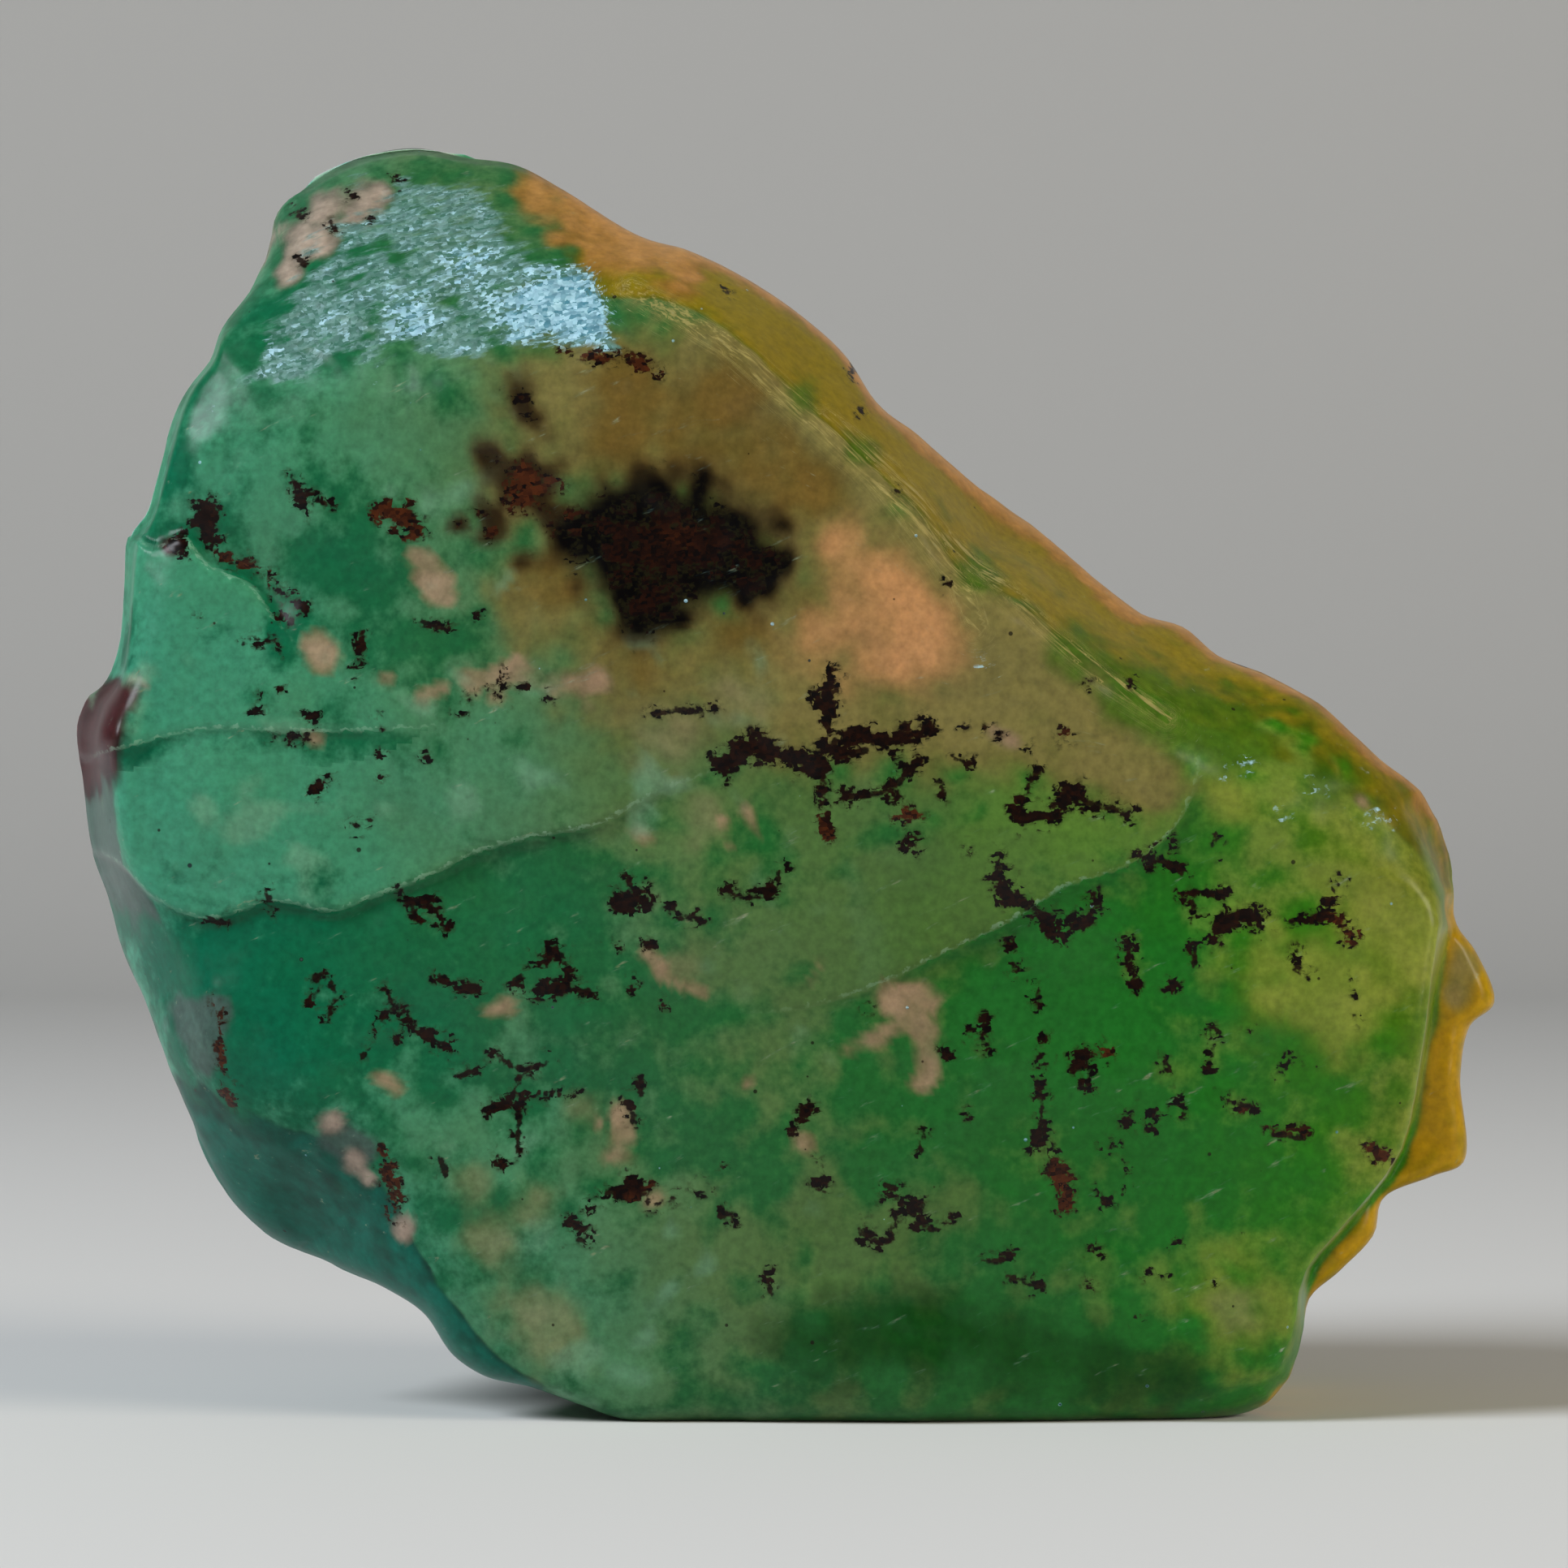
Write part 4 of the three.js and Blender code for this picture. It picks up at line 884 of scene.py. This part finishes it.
def far_fields(x, z, inside, keep, points, behind):
    """The zones on the sides and the back, which wander and break up with the distance `behind` the front."""
    deep = rising(behind, 0.3, 2.1)
    right, up, breaks, spots = (grown(name, *points.T) for name in ("right", "up", "breaks", "spots"))
    fields = zone_fields(x + WANDER * deep * right, z + WANDER * deep * up, inside, keep)
    left = 1 - deep * rising(breaks + 0.4 * spots, -0.2, 0.12)
    for name, least in (("amber", 0.0), ("flange_and_painted_glow", 0.15), ("olive", 0.45), ("grey", 0.1), ("blue", 0.6)):
        fields[name] = fields[name] * (least + (1 - least) * left)
    reach = behind + 3 * breaks + 3 * spots
    fields["maroon"] = fields["maroon"] * np.where(reach > 0, np.exp(-((reach / BEAD_REACH) ** 2)), 1)
    fields["milk"] = fields["milk"] + 1.6 * deep * rising(-up, 0.05, 0.3)
    fields["deep"] = fields["deep"] + 1.6 * deep * rising(right, 0.05, 0.3)
    fields["grain"] = 1.4 * deep * rising(spots, 0.2, 0.34)
    return fields


def step_fields(x, z, inside):
    """Distance past the nearest flake's crest, and how strongly that flake colours the stone there."""
    past, pull = np.full(x.shape, -FAR), np.zeros(x.shape)
    for flake in FLAKES.values():
        here, kept, _ = flake_places(flake, x, z)
        strength = kept * np.exp(-np.abs(here) / flake["tint"])
        past = np.where(strength > pull, here, past)
        pull = np.maximum(strength, pull)
    return {"past": past, "pull": pull * rising(inside, 0, CREST_EDGE)}


def no_steps(x):
    """No flakes, as on the sides and the back."""
    return {"past": np.full(x.shape, -FAR), "pull": np.zeros(x.shape)}


# ---- The body's colour, at every vertex ----

# Colours of the beryl from the left end of the stone to the right, where it is clear and where it is cloudy.
CLEAR_BERYL = [
    (0.0, "#005e46"), (0.15, "#086140"), (0.38, "#226032"), (0.6, "#1e6224"), (0.74, "#1a681c"),
    (0.88, "#306e08"), (1.0, "#607010"),
]
CLOUDY_BERYL = [
    (0.0, "#3c8c70"), (0.18, "#3e8462"), (0.42, "#506e40"), (0.62, "#48692f"), (0.8, "#587f2c"),
    (1.0, "#7c802e"),
]
ENDS = (-16.0, 22.5)  # where those ramps start and end, in mm
LEAN, DRIFT = 0.22, 6.0  # how much they lean with height, and how far clouds push them, in mm

# Laid over it in this order: pool, where its edge starts and is full, most cover, darker and lighter tone.
TINTS = [
    ("tan", 0.0, 0.9, 0.9, "#5c5a28", "#7c7040"),
    # stained yellow, with a painted glow through thin stone
    ("gold_and_painted_glow", 0.2, 1.1, 0.72, "#5c6e14", "#8a903c"),
    ("stain", 0.2, 1.3, 0.75, "#4c400e", "#6e521a"),
    ("peach", 0.1, 1.4, 0.9, "#80683a", "#bc8a5a"),
    # painted shade along the foot
    ("painted_foot_shade", 0.1, 1.2, 0.85, "#002c00", "#0c420a"),
    ("olive", 0.15, 0.6, 0.97, "#344e00", "#7e6e0c"),
    ("moss", 0.2, 1.0, 0.85, "#245000", "#446610"),
    ("blue", 0.2, 0.7, 0.98, "#00261c", "#005c4c"),
    ("grey", 0.3, 0.8, 0.85, "#3c4e48", "#4a5853"),
    # the thin lip's yellow, with its painted glow
    ("flange_and_painted_glow", 0.2, 0.6, 1.0, "#686800", "#a88408"),
    ("amber", 0.3, 0.9, 0.9, "#74540f", "#ae7e44"),
    ("sand", 0.25, 1.1, 0.65, "#506638", "#867f5c"),
    ("grain", 0.35, 0.8, 0.8, "#6a6242", "#a88870"),
    ("crust", 0.25, 0.8, 0.85, "#4c4a40", "#b09a8a"),
    ("maroon", 0.2, 0.6, 0.97, "#160508", "#401419"),
]
HAZE = "#3a240c"  # brown stone round the dark cloud
CLOUD_BLACK, CLOUD_BROWN = "#010000", "#160904"
FLECK = "#6a9678"  # the small white clouds


def ramp(value, stops):
    """Colours between the stops, in linear light."""
    colours = np.array([linear(code) for _, code in stops])
    return np.column_stack([np.interp(value, [place for place, _ in stops], colours[:, k]) for k in range(3)])


def over(below, above, cover):
    """One colour laid over another by its cover."""
    return below + (above - below) * cover[:, None]


def body_fields(points, fields):
    """Colour of the clear and of the cloudy beryl, and how cloudy it is, with marks roughened to match."""
    x, y, z = points.T
    names = ("clouds", "mottles", "swell", "sugar", "flecks", "patches")
    clouds, mottles, swell, sugar, flecks, patches = (grown(name, x, y, z) for name in names)
    # From the left end to the right, with the tints over it; the noises break up each tint's edge and tone.
    along = np.interp(x + LEAN * z + DRIFT * clouds, ENDS, (0, 1))
    clear, cloudy = ramp(along, CLEAR_BERYL), ramp(along, CLOUDY_BERYL)
    for name, start, full, most, dark, light in TINTS:
        weight = fields[name] + (1.1 * mottles + 0.5 * swell) * np.clip(3 * fields[name], 0, 1)
        cover = most * rising(weight, start, full)
        tone = np.clip((fields[name] + 0.9 * mottles + sugar - start) / (full - start + 0.4), 0, 1)
        tone = ramp(tone, [(0, dark), (1, light)])
        clear, cloudy = over(clear, tone, cover), over(cloudy, tone, cover)
    # Small white clouds in the milky left end.
    flecks = rising(flecks, 0.1, 0.24) * rising(fields["milk"] + mottles, 0.1, 0.7) * rising(x, 4, -4)
    cloudy = over(cloudy, np.array(linear(FLECK)), 0.55 * flecks)
    # The dark cloud and its smudges: a ragged edge, a brown haze round them, and a browner window.
    cloud = fields["cloud"] - 1.6 * mottles - 0.8 * swell - 0.1
    smudge = fields["cloudlet"] - 1.2 * mottles - 0.8 * swell
    window = rising(-fields["window"] + 1.5 * mottles, -0.1, 0.9)
    haze = np.maximum(0.75 * rising(-cloud, -0.8, 0.2), 0.9 * rising(-smudge, -0.45, 0.3))
    black = np.maximum(rising(-cloud, -0.3, 0.4), 0.6 * rising(-smudge, -0.1, 0.4))
    middle = over(np.tile(linear(CLOUD_BLACK), (len(x), 1)), np.array(linear(CLOUD_BROWN)), window)
    fields["clear"], fields["cloudy"] = (
        over(over(colour, np.array(linear(HAZE)), haze), middle, black) for colour in (clear, cloudy)
    )
    # Mottled, cloudier in the milky pools and clearer in the deep ones.
    fields["cloudiness"] = 0.5 + 2.3 * mottles + 1.0 * clouds + 0.55 * fields["milk"] - 0.4 * fields["deep"]
    # The painted glints are toned down, and the frost lies in patches.
    fields["shine"] = 0.46 * fields["shine"]
    frost = fields["frost"] + 1.5 * mottles * np.clip(3 * fields["frost"], 0, 1)
    fields["frost"] = 1.1 * rising(frost, 0.1, 0.85)
    # Mica in the strokes, thinly through the cloud and its smudges, and in patches on the sides and the back.
    rusty = rising(fields["mica"] - fields["rust"], 0, 0.2) * rising(fields["rust"], 1.5, 0.5)
    fields["brown"] = rusty + 0.3 * window
    mica = np.minimum(fields["mica"], fields["rust"])
    mica = np.minimum(mica, 0.35 * cloud + 0.2 + 0.35 * window)
    mica = np.minimum(mica, 0.6 * smudge + 0.2)
    mica = np.where(fields["wild"] > 0, np.minimum(mica, 2.1 - 1.1 * fields["wild"] - 3.6 * patches), mica)
    fields["mica"] = mica + 0.5 * swell + 0.07
    return fields


# How the fields ride on the mesh: four to a colour attribute.
PACKS = {
    "clear_beryl": ["clear", "cloudiness"],
    "cloudy_beryl": ["cloudy", "pull"],
    "marks": ["mica", "thread", "past", "brown"],
    # this pack also carries the painted glints
    "crusts": ["frost", "fibres", "shine", "wild"],
}


# ---- Materials ----


def put(tree, kind, inputs=None, **settings):
    """Adds a node, sets its properties, sets or links its inputs; returns its live output."""
    made = tree.nodes.new(kind)
    for name, value in settings.items():
        setattr(made, name, value)
    for key, value in (inputs or {}).items():
        if isinstance(value, bpy.types.NodeSocket):
            tree.links.new(value, made.inputs[key])
        else:
            made.inputs[key].default_value = value
    return next((socket for socket in made.outputs if socket.enabled), None)


# Sizes of the patterns in the beryl, in mm or in repeats per mm.
GRIT_PER_MM = 4.0  # sugary grit of 0.25 mm
BOOKS_PER_MM = (2.6, 3.0, 4.0)  # mica grows in flat books, about 0.38 by 0.33 by 0.25 mm
LEAVES_PER_BOOK = 2.7  # leaves of 0.14 mm; the real ones are finer and are drawn this coarse to show
SPECKS_PER_MM = 1.3  # mica specks and lone painted glints, 0.8 mm apart
FROST_STREAK = (1.4, 0.3, 0.3)  # crushed streaks, 1.4 mm long
FIBRE_STREAK = (2.4, 0.14, 0.14)  # real fibres are finer than this and are drawn this coarse to show
# How the books, the frost's streaks and the fibres are turned in the plane of the front.
BOOK_TURN, FROST_TURN, FIBRE_TURN = ((0, math.radians(turn), 0) for turn in (8, -24, 43))
GRIT_SHADE = 0.4  # how much the grit shades the colour
# Roughness of a clean break, and what frost and the wilder breaks of the sides and the back add to it.
SATIN, FROST_DULL, WILD_DULL = 0.29, 0.15, 0.12
FROST_DARK, PAINTED_GLINT_DARK = "#3c6a5c", "#437f92"  # the darker grains of the frost, and the darker tone of the painted glints on its facets


def beryl_material(settings):
    """Beryl with mica, as broken out of the rock and never cut or polished.

    That gives the eye milky green stone that light enters by about a millimetre, under a satin skin with
    painted glints where it is crushed, with dull black mica in it.
    """
    material = bpy.data.materials.new("Beryl_cloudy_broken")
    material.use_nodes = True
    tree = material.node_tree
    tree.nodes.clear()
    add = partial(put, tree)
    times_plus = {"operation": "MULTIPLY_ADD"}
    soft = {"interpolation_type": "SMOOTHSTEP"}
    mix = {"data_type": "RGBA"}

    field = {}
    for pack, names in PACKS.items():
        read = add("ShaderNodeAttribute", attribute_name=pack).node.outputs
        if len(names) == 2:
            field.update(zip(names, [read["Color"], read["Alpha"]]))
        else:
            parts = add("ShaderNodeSeparateColor", {0: read["Color"]}).node.outputs
            field.update(zip(names, [*parts, read["Alpha"]]))
    metres = add("ShaderNodeTexCoord").node.outputs["Object"]
    mm = add("ShaderNodeVectorMath", {0: metres, 3: 1 / MM}, operation="SCALE")

    # Grit, and blocks of two sizes for the stepped edges of the mica's books and leaves.
    grit = add("ShaderNodeTexNoise", {"Vector": mm, "Scale": GRIT_PER_MM, "Detail": 2.0, "Roughness": 0.6})
    books = add("ShaderNodeMapping", {"Vector": mm, "Rotation": BOOK_TURN, "Scale": BOOKS_PER_MM})
    books = add("ShaderNodeVectorMath", {0: books, 1: grit}, operation="ADD")
    leaves = add("ShaderNodeVectorMath", {0: books, 3: LEAVES_PER_BOOK}, operation="SCALE")
    books = add("ShaderNodeVectorMath", {0: books}, operation="FLOOR")
    leaves = add("ShaderNodeVectorMath", {0: leaves}, operation="FLOOR")
    books = add("ShaderNodeTexWhiteNoise", {"Vector": books})
    leaves = add("ShaderNodeTexWhiteNoise", {"Vector": leaves})
    ragged = add("ShaderNodeMath", {0: books, 1: 0.34, 2: -0.44}, **times_plus)
    ragged = add("ShaderNodeMath", {0: leaves, 1: 0.22, 2: ragged}, **times_plus)
    ragged = add("ShaderNodeMath", {0: grit, 1: 0.32, 2: ragged}, **times_plus)

    # The body, clear to cloudy; each break shows cloudy stone above its crest and clear stone below it.
    past = add("ShaderNodeMath", {0: grit, 1: 0.35, 2: field["past"]}, **times_plus)
    side = add("ShaderNodeMapRange", {0: past, 1: 0.10, 2: 0.24, 3: 0.5, 4: -0.6}, **soft)
    cloudy = add("ShaderNodeMath", {0: side, 1: field["pull"], 2: field["cloudiness"]}, **times_plus)
    cloudy = add("ShaderNodeMath", {0: grit, 1: 0.7, 2: cloudy}, **times_plus)
    cloudy = add("ShaderNodeMapRange", {0: cloudy, 1: 0.4, 2: 1.4}, **soft)
    colour = add("ShaderNodeMix", {0: cloudy, 6: field["clear"], 7: field["cloudy"]}, **mix)

    # A painted highlight: a pale, broken line on the crests.
    crest = add("ShaderNodeMath", {0: past, 1: 0.14, 2: 0.05}, operation="COMPARE")
    crest = add("ShaderNodeMath", {0: crest, 1: field["pull"]}, operation="MULTIPLY")
    broken = add("ShaderNodeMapRange", {0: grit, 1: 0.44, 2: 0.60, 3: 0.04, 4: 0.34}, **soft)
    crest = add("ShaderNodeMath", {0: crest, 1: broken}, operation="MULTIPLY")
    colour = add("ShaderNodeMix", {0: crest, 6: colour, 7: (*settings.crest, 1)}, **mix)

    # Streaks: frost up the top slope, fibres down the long crest.
    up, down = (
        add("ShaderNodeMapping", {"Vector": mm, "Rotation": turn, "Scale": size}, vector_type="TEXTURE")
        for turn, size in ((FROST_TURN, FROST_STREAK), (FIBRE_TURN, FIBRE_STREAK))
    )
    lie = add("ShaderNodeMix", {0: field["fibres"], 4: up, 5: down}, data_type="VECTOR")
    streaks = add("ShaderNodeTexNoise", {"Vector": lie, "Scale": 1.0, "Detail": 3.0, "Roughness": 0.7})
    fibres = add("ShaderNodeMath", {0: field["fibres"], 1: 0.2, 2: streaks}, **times_plus)
    fibres = add("ShaderNodeMapRange", {0: fibres, 1: 0.67, 2: 0.82, 4: 0.75}, **soft)
    colour = add("ShaderNodeMix", {0: fibres, 6: colour, 7: (*settings.fibre, 1)}, **mix)

    # Frost: crushed beryl in streaks, its pale bluish tone partly a painted reflection of cool light, with
    # painted glints on its facets and lone painted glints elsewhere.
    frost = add("ShaderNodeMath", {0: field["frost"], 1: 0.4, 2: streaks}, **times_plus)
    frost = add("ShaderNodeMapRange", {0: frost, 1: 0.62, 2: 0.95, 4: 0.9}, **soft)
    tone = add("ShaderNodeMix", {0: leaves, 6: (*linear(FROST_DARK), 1), 7: (*settings.frost, 1)}, **mix)
    colour = add("ShaderNodeMix", {0: frost, 6: colour, 7: tone}, **mix)
    painted_glitter = add("ShaderNodeMath", {0: field["frost"], 1: 0.35, 2: field["shine"]}, **times_plus)
    painted_glitter = add("ShaderNodeMath", {0: streaks, 1: 1.3, 2: painted_glitter}, **times_plus)
    painted_glitter = add("ShaderNodeMath", {0: leaves, 1: 0.5, 2: painted_glitter}, **times_plus)
    painted_glitter = add("ShaderNodeMapRange", {0: painted_glitter, 1: 1.42, 2: 1.8, 4: 0.85}, **soft)
    dots = add("ShaderNodeTexVoronoi", {"Vector": mm, "Scale": SPECKS_PER_MM}).node.outputs
    lots = add("ShaderNodeSeparateColor", {0: dots["Color"]}).node.outputs
    painted_lone_glint = add("ShaderNodeMath", {0: lots[1], 1: 0.25, 2: -0.18}, **times_plus)
    painted_lone_glint = add("ShaderNodeMath", {0: dots["Distance"], 1: painted_lone_glint}, operation="SUBTRACT")
    painted_lone_glint = add("ShaderNodeMapRange", {0: painted_lone_glint, 1: 0.01, 2: -0.01, 4: 0.6}, **soft)
    painted_glitter = add("ShaderNodeMath", {0: painted_glitter, 1: painted_lone_glint}, operation="MAXIMUM")
    tone = add("ShaderNodeMix", {0: leaves, 6: (*linear(PAINTED_GLINT_DARK), 1), 7: (*settings.painted_glint_colour, 1)}, **mix)
    colour = add("ShaderNodeMix", {0: painted_glitter, 6: colour, 7: tone}, **mix)

    # Mica, black or red-brown: strokes with stepped edges in a brown fringe, a thread along each, and pepper.
    mica = add("ShaderNodeMath", {0: field["mica"], 1: ragged}, operation="ADD")
    fringe = add("ShaderNodeMapRange", {0: mica, 1: 0.16, 2: 0.0, 4: 0.4}, **soft)
    colour = add("ShaderNodeMix", {0: fringe, 6: colour, 7: (*settings.fringe, 1)}, **mix)
    mica = add("ShaderNodeMapRange", {0: mica, 1: 0.03, 2: -0.03}, **soft)
    thread = add("ShaderNodeMath", {0: grit, 1: 0.3, 2: field["thread"]}, **times_plus)
    thread = add("ShaderNodeMapRange", {0: thread, 1: 0.26, 2: 0.20, 4: 0.95}, **soft)
    mica = add("ShaderNodeMath", {0: mica, 1: thread}, operation="MAXIMUM")
    speck = add("ShaderNodeMath", {0: lots[0], 1: 0.22, 2: -0.13}, **times_plus)
    speck = add("ShaderNodeMath", {0: dots["Distance"], 1: speck}, operation="SUBTRACT")
    speck = add("ShaderNodeMapRange", {0: speck, 1: 0.01, 2: -0.02, 4: 0.85}, **soft)
    mica = add("ShaderNodeMath", {0: mica, 1: speck}, operation="MAXIMUM")
    rusty = add("ShaderNodeMath", {0: field["brown"], 1: 0.22}, operation="ADD")
    rusty = add("ShaderNodeMath", {0: rusty, 1: leaves}, operation="MULTIPLY")
    tone = add("ShaderNodeMix", {0: rusty, 6: (*settings.mica, 1), 7: (*settings.rust, 1)}, **mix)
    colour = add("ShaderNodeMix", {0: mica, 6: colour, 7: tone}, **mix)

    # The grit shades everything a little.
    colour = add("ShaderNodeMix", {0: GRIT_SHADE, 6: colour, 7: grit}, blend_type="OVERLAY", **mix)

    # Surface: satin, duller where frosted and on the rougher breaks of the sides and the back.
    rough = add("ShaderNodeMath", {0: frost, 1: FROST_DULL, 2: SATIN}, **times_plus)
    rough = add("ShaderNodeMath", {0: field["wild"], 1: WILD_DULL, 2: rough}, **times_plus)
    surface = add("ShaderNodeBsdfPrincipled", {
        "Base Color": colour, "Roughness": rough, "IOR": 1.58, "Specular IOR Level": 0.13,
        "Subsurface Weight": settings.depth_share, "Subsurface Radius": (0.8, 1.0, 0.8),
        "Subsurface Scale": settings.depth,
    })
    add("ShaderNodeOutputMaterial", {"Surface": surface})
    return material


def colour(name, description, code):
    return FloatVectorProperty(
        name=name, description=description, default=linear(code), size=3, min=0, max=1, subtype="COLOR"
    )


def length(name, description, default, least=0.0, most=MM):
    return FloatProperty(
        name=name, description=description, default=default, min=least, max=most, precision=6, unit="LENGTH",
        subtype="DISTANCE",
    )


class StoneSettings(bpy.types.PropertyGroup):
    """Sizes, marks and colours of the stone."""

    front_cells: IntProperty(
        name="Front cells", description="Cells along one side of the front's mesh", default=240, min=40,
        max=260,
    )
    rim_rows: IntProperty(
        name="Rim rows", description="Rows of faces round the stone's edge", default=32, min=4, max=60
    )
    grain: length("Grain", "Height of the surface's fine grain", 0.03 * MM)
    crust: length("Crust", "Height of the frosted crust", 0.12 * MM)
    depth_share: FloatProperty(
        name="Depth", description="Share of the light that travels inside the stone", default=0.6, min=0,
        max=1, subtype="FACTOR",
    )
    depth: length("Glow", "How far light travels inside the stone", 1.2 * MM, most=10 * MM)
    cast: colour("Cast", "Colour that the body's own colours are multiplied by", "#ffffff")
    # A painted highlight: the pale line along the crests of the breaks.
    crest: colour("Crests", "The pale line on the crests of the breaks", "#8fae98")
    fibre: colour("Fibres", "The fibres along the crest of the long slope", "#a0945a")
    fringe: colour("Fringe", "The stone round the mica", "#2c2a12")
    mica: colour("Mica", "The black mica", "#030202")
    rust: colour("Rust", "The red-brown mica", "#4a220c")
    # Partly painted: the crushed crust's pale bluish tone stands in for a reflection of cool light.
    frost: colour("Frost", "Crushed beryl on the frosted slope", "#7a9e9a")
    # Painted glints: the colour of the small facets where they catch the light.
    painted_glint_colour: colour("Facets", "The small facets that glitter", "#b4dcea")


class StageSettings(bpy.types.PropertyGroup):
    """The sweep, the lights and the camera."""

    paper: colour("Paper", "The matt sweep", "#d8d8d5")
    key: FloatProperty(
        name="Key light", description="Power of the cool light on the left", default=2.4, min=0, unit="POWER"
    )
    fill: FloatProperty(
        name="Fill light", description="Power of the warm light on the right", default=1.6, min=0,
        unit="POWER",
    )
    room: FloatProperty(name="Room", description="Strength of the even light all round", default=0.12, min=0)
    lens: FloatProperty(
        name="Lens", description="The camera's focal length, in mm", default=150, min=20,
        subtype="DISTANCE_CAMERA",
    )
    view: length("View", "Width of what the camera sees at the stone", 44.44 * MM, least=MM, most=1.0)


def make_stone(settings):
    """The stone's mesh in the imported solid's box, with its colours on its vertices and its material."""
    points, faces, fields = stone_mesh(settings)
    if not np.isfinite(points).all():
        raise ValueError("the stone's mesh has places that are not numbers")
    low, high = points.min(axis=0), points.max(axis=0)
    box_low, box_high = (np.array(corner) for corner in STONE_BOX)
    points = box_low + (points - low) / (high - low) * (box_high - box_low)
    mesh = bpy.data.meshes.new("raw_emerald")
    mesh.from_pydata(points.tolist(), [], faces)
    mesh.shade_smooth()
    for pack, names in PACKS.items():
        values = np.column_stack([fields[name] for name in names]).astype(np.float32)
        mesh.attributes.new(pack, "FLOAT_COLOR", "POINT").data.foreach_set("color", values.ravel())
    mesh.materials.append(beryl_material(settings))
    mesh.update()
    piece = bpy.data.objects.new("raw_emerald", mesh)
    bpy.context.collection.objects.link(piece)
    return piece


class EMERALD_OT_stone(bpy.types.Operator):
    """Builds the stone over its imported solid"""

    bl_idname = "emerald.stone"
    bl_label = "Build stone"

    def execute(self, context):
        piece = make_stone(context.scene.emerald_stone)
        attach(piece, "root")
        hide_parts("emerald")
        return {"FINISHED"}


class EMERALD_OT_stage(bpy.types.Operator):
    """Builds the pale sweep, the lights and the camera"""

    bl_idname = "emerald.stage"
    bl_label = "Build stage"

    def execute(self, context):
        settings = context.scene.emerald_stage
        if settings.key + settings.fill + settings.room <= 0:
            raise ValueError("the stage has no light")
        build_sweep(settings)
        build_lights(settings)
        build_camera(settings)
        return {"FINISHED"}


class EMERALD_PT_build(bpy.types.Panel):
    """Lists what can be built, with its settings"""

    bl_idname = "EMERALD_PT_build"
    bl_label = "Raw emerald"
    bl_space_type = "VIEW_3D"
    bl_region_type = "UI"
    bl_category = "Emerald"

    def draw(self, context):
        scene = context.scene
        builds = ((scene.emerald_stone, "emerald.stone"), (scene.emerald_stage, "emerald.stage"))
        for settings, operator in builds:
            box = self.layout.box()
            for name in settings.__annotations__:
                box.prop(settings, name)
            box.operator(operator)


def build_sweep(settings):
    """A pale floor that turns up into a pale backdrop."""
    wide, near, far, bend, high = 1.2, -0.5, 0.35, 0.2, 0.9  # in metres
    steps = 12
    profile = [(near, 0.0), (far, 0.0)]
    for k in range(1, steps + 1):
        turn = math.pi / 2 * k / steps
        profile.append((far + bend * math.sin(turn), bend * (1 - math.cos(turn))))
    profile.append((far + bend, high))
    points = [(x, y, z) for y, z in profile for x in (-wide / 2, wide / 2)]
    faces = [(2 * k, 2 * k + 1, 2 * k + 3, 2 * k + 2) for k in range(len(profile) - 1)]
    mesh = bpy.data.meshes.new("sweep")
    mesh.from_pydata(points, [], faces)
    mesh.shade_smooth()
    sweep = bpy.data.objects.new("sweep", mesh)
    bpy.context.collection.objects.link(sweep)
    # Uncoated paper, rolled flat: an even, pale ground with no gloss, so only soft shade shows on it.
    material = bpy.data.materials.new("Matt_paper")
    material.use_nodes = True
    material.node_tree.nodes.clear()
    add = partial(put, material.node_tree)
    paper = add("ShaderNodeBsdfDiffuse", {"Color": (*settings.paper, 1)})
    add("ShaderNodeOutputMaterial", {"Surface": paper})
    mesh.materials.append(material)


# Name, place, size and colour, in metres; both aim at the middle of the stone.
LIGHTS = [
    ("key", (-0.34, -0.19, 0.31), 0.24, "#f0f6ff"),
    ("fill", (0.40, -0.22, 0.15), 0.26, "#fff3e2"),
]
AIM = (0, 0, 0.017)


def build_lights(settings):
    """Two soft round lamps and an even white room."""
    for name, place, size, code in LIGHTS:
        light = bpy.data.lights.new(name, "AREA")
        light.shape = "DISK"
        light.size = size
        light.energy = getattr(settings, name)
        light.color = linear(code)
        holder = bpy.data.objects.new(name, light)
        holder.location = place
        holder.rotation_euler = (Vector(AIM) - Vector(place)).to_track_quat("-Z", "Y").to_euler()
        bpy.context.collection.objects.link(holder)
    world = bpy.data.worlds.new("Studio")
    world.use_nodes = True
    world.node_tree.nodes["Background"].inputs["Color"].default_value = (1, 1, 1, 1)
    world.node_tree.nodes["Background"].inputs["Strength"].default_value = settings.room
    bpy.context.scene.world = world
    bpy.context.scene.view_settings.view_transform = "Standard"


def build_camera(settings):
    """A long lens, level with the middle of the stone."""
    sensor = 36.0
    camera = bpy.data.cameras.new("camera")
    camera.lens = settings.lens
    camera.sensor_width = sensor
    camera.clip_start = 0.01
    holder = bpy.data.objects.new("camera", camera)
    distance = settings.view * settings.lens / sensor
    holder.location = (0.0, DRAWN_PLANE * MM - distance, DRAWN_LEVEL * MM)
    holder.rotation_euler = (math.pi / 2, 0, 0)
    bpy.context.collection.objects.link(holder)
    bpy.context.scene.camera = holder


CLASSES = [StoneSettings, StageSettings, EMERALD_OT_stone, EMERALD_OT_stage, EMERALD_PT_build]


def register():
    for part in CLASSES:
        bpy.utils.register_class(part)
    bpy.types.Scene.emerald_stone = PointerProperty(type=StoneSettings)
    bpy.types.Scene.emerald_stage = PointerProperty(type=StageSettings)


def unregister():
    del bpy.types.Scene.emerald_stage
    del bpy.types.Scene.emerald_stone
    for part in reversed(CLASSES):
        bpy.utils.unregister_class(part)


def main():
    register()
    bpy.ops.emerald.stone()
    bpy.ops.emerald.stage()


if __name__ == "__main__":
    main()
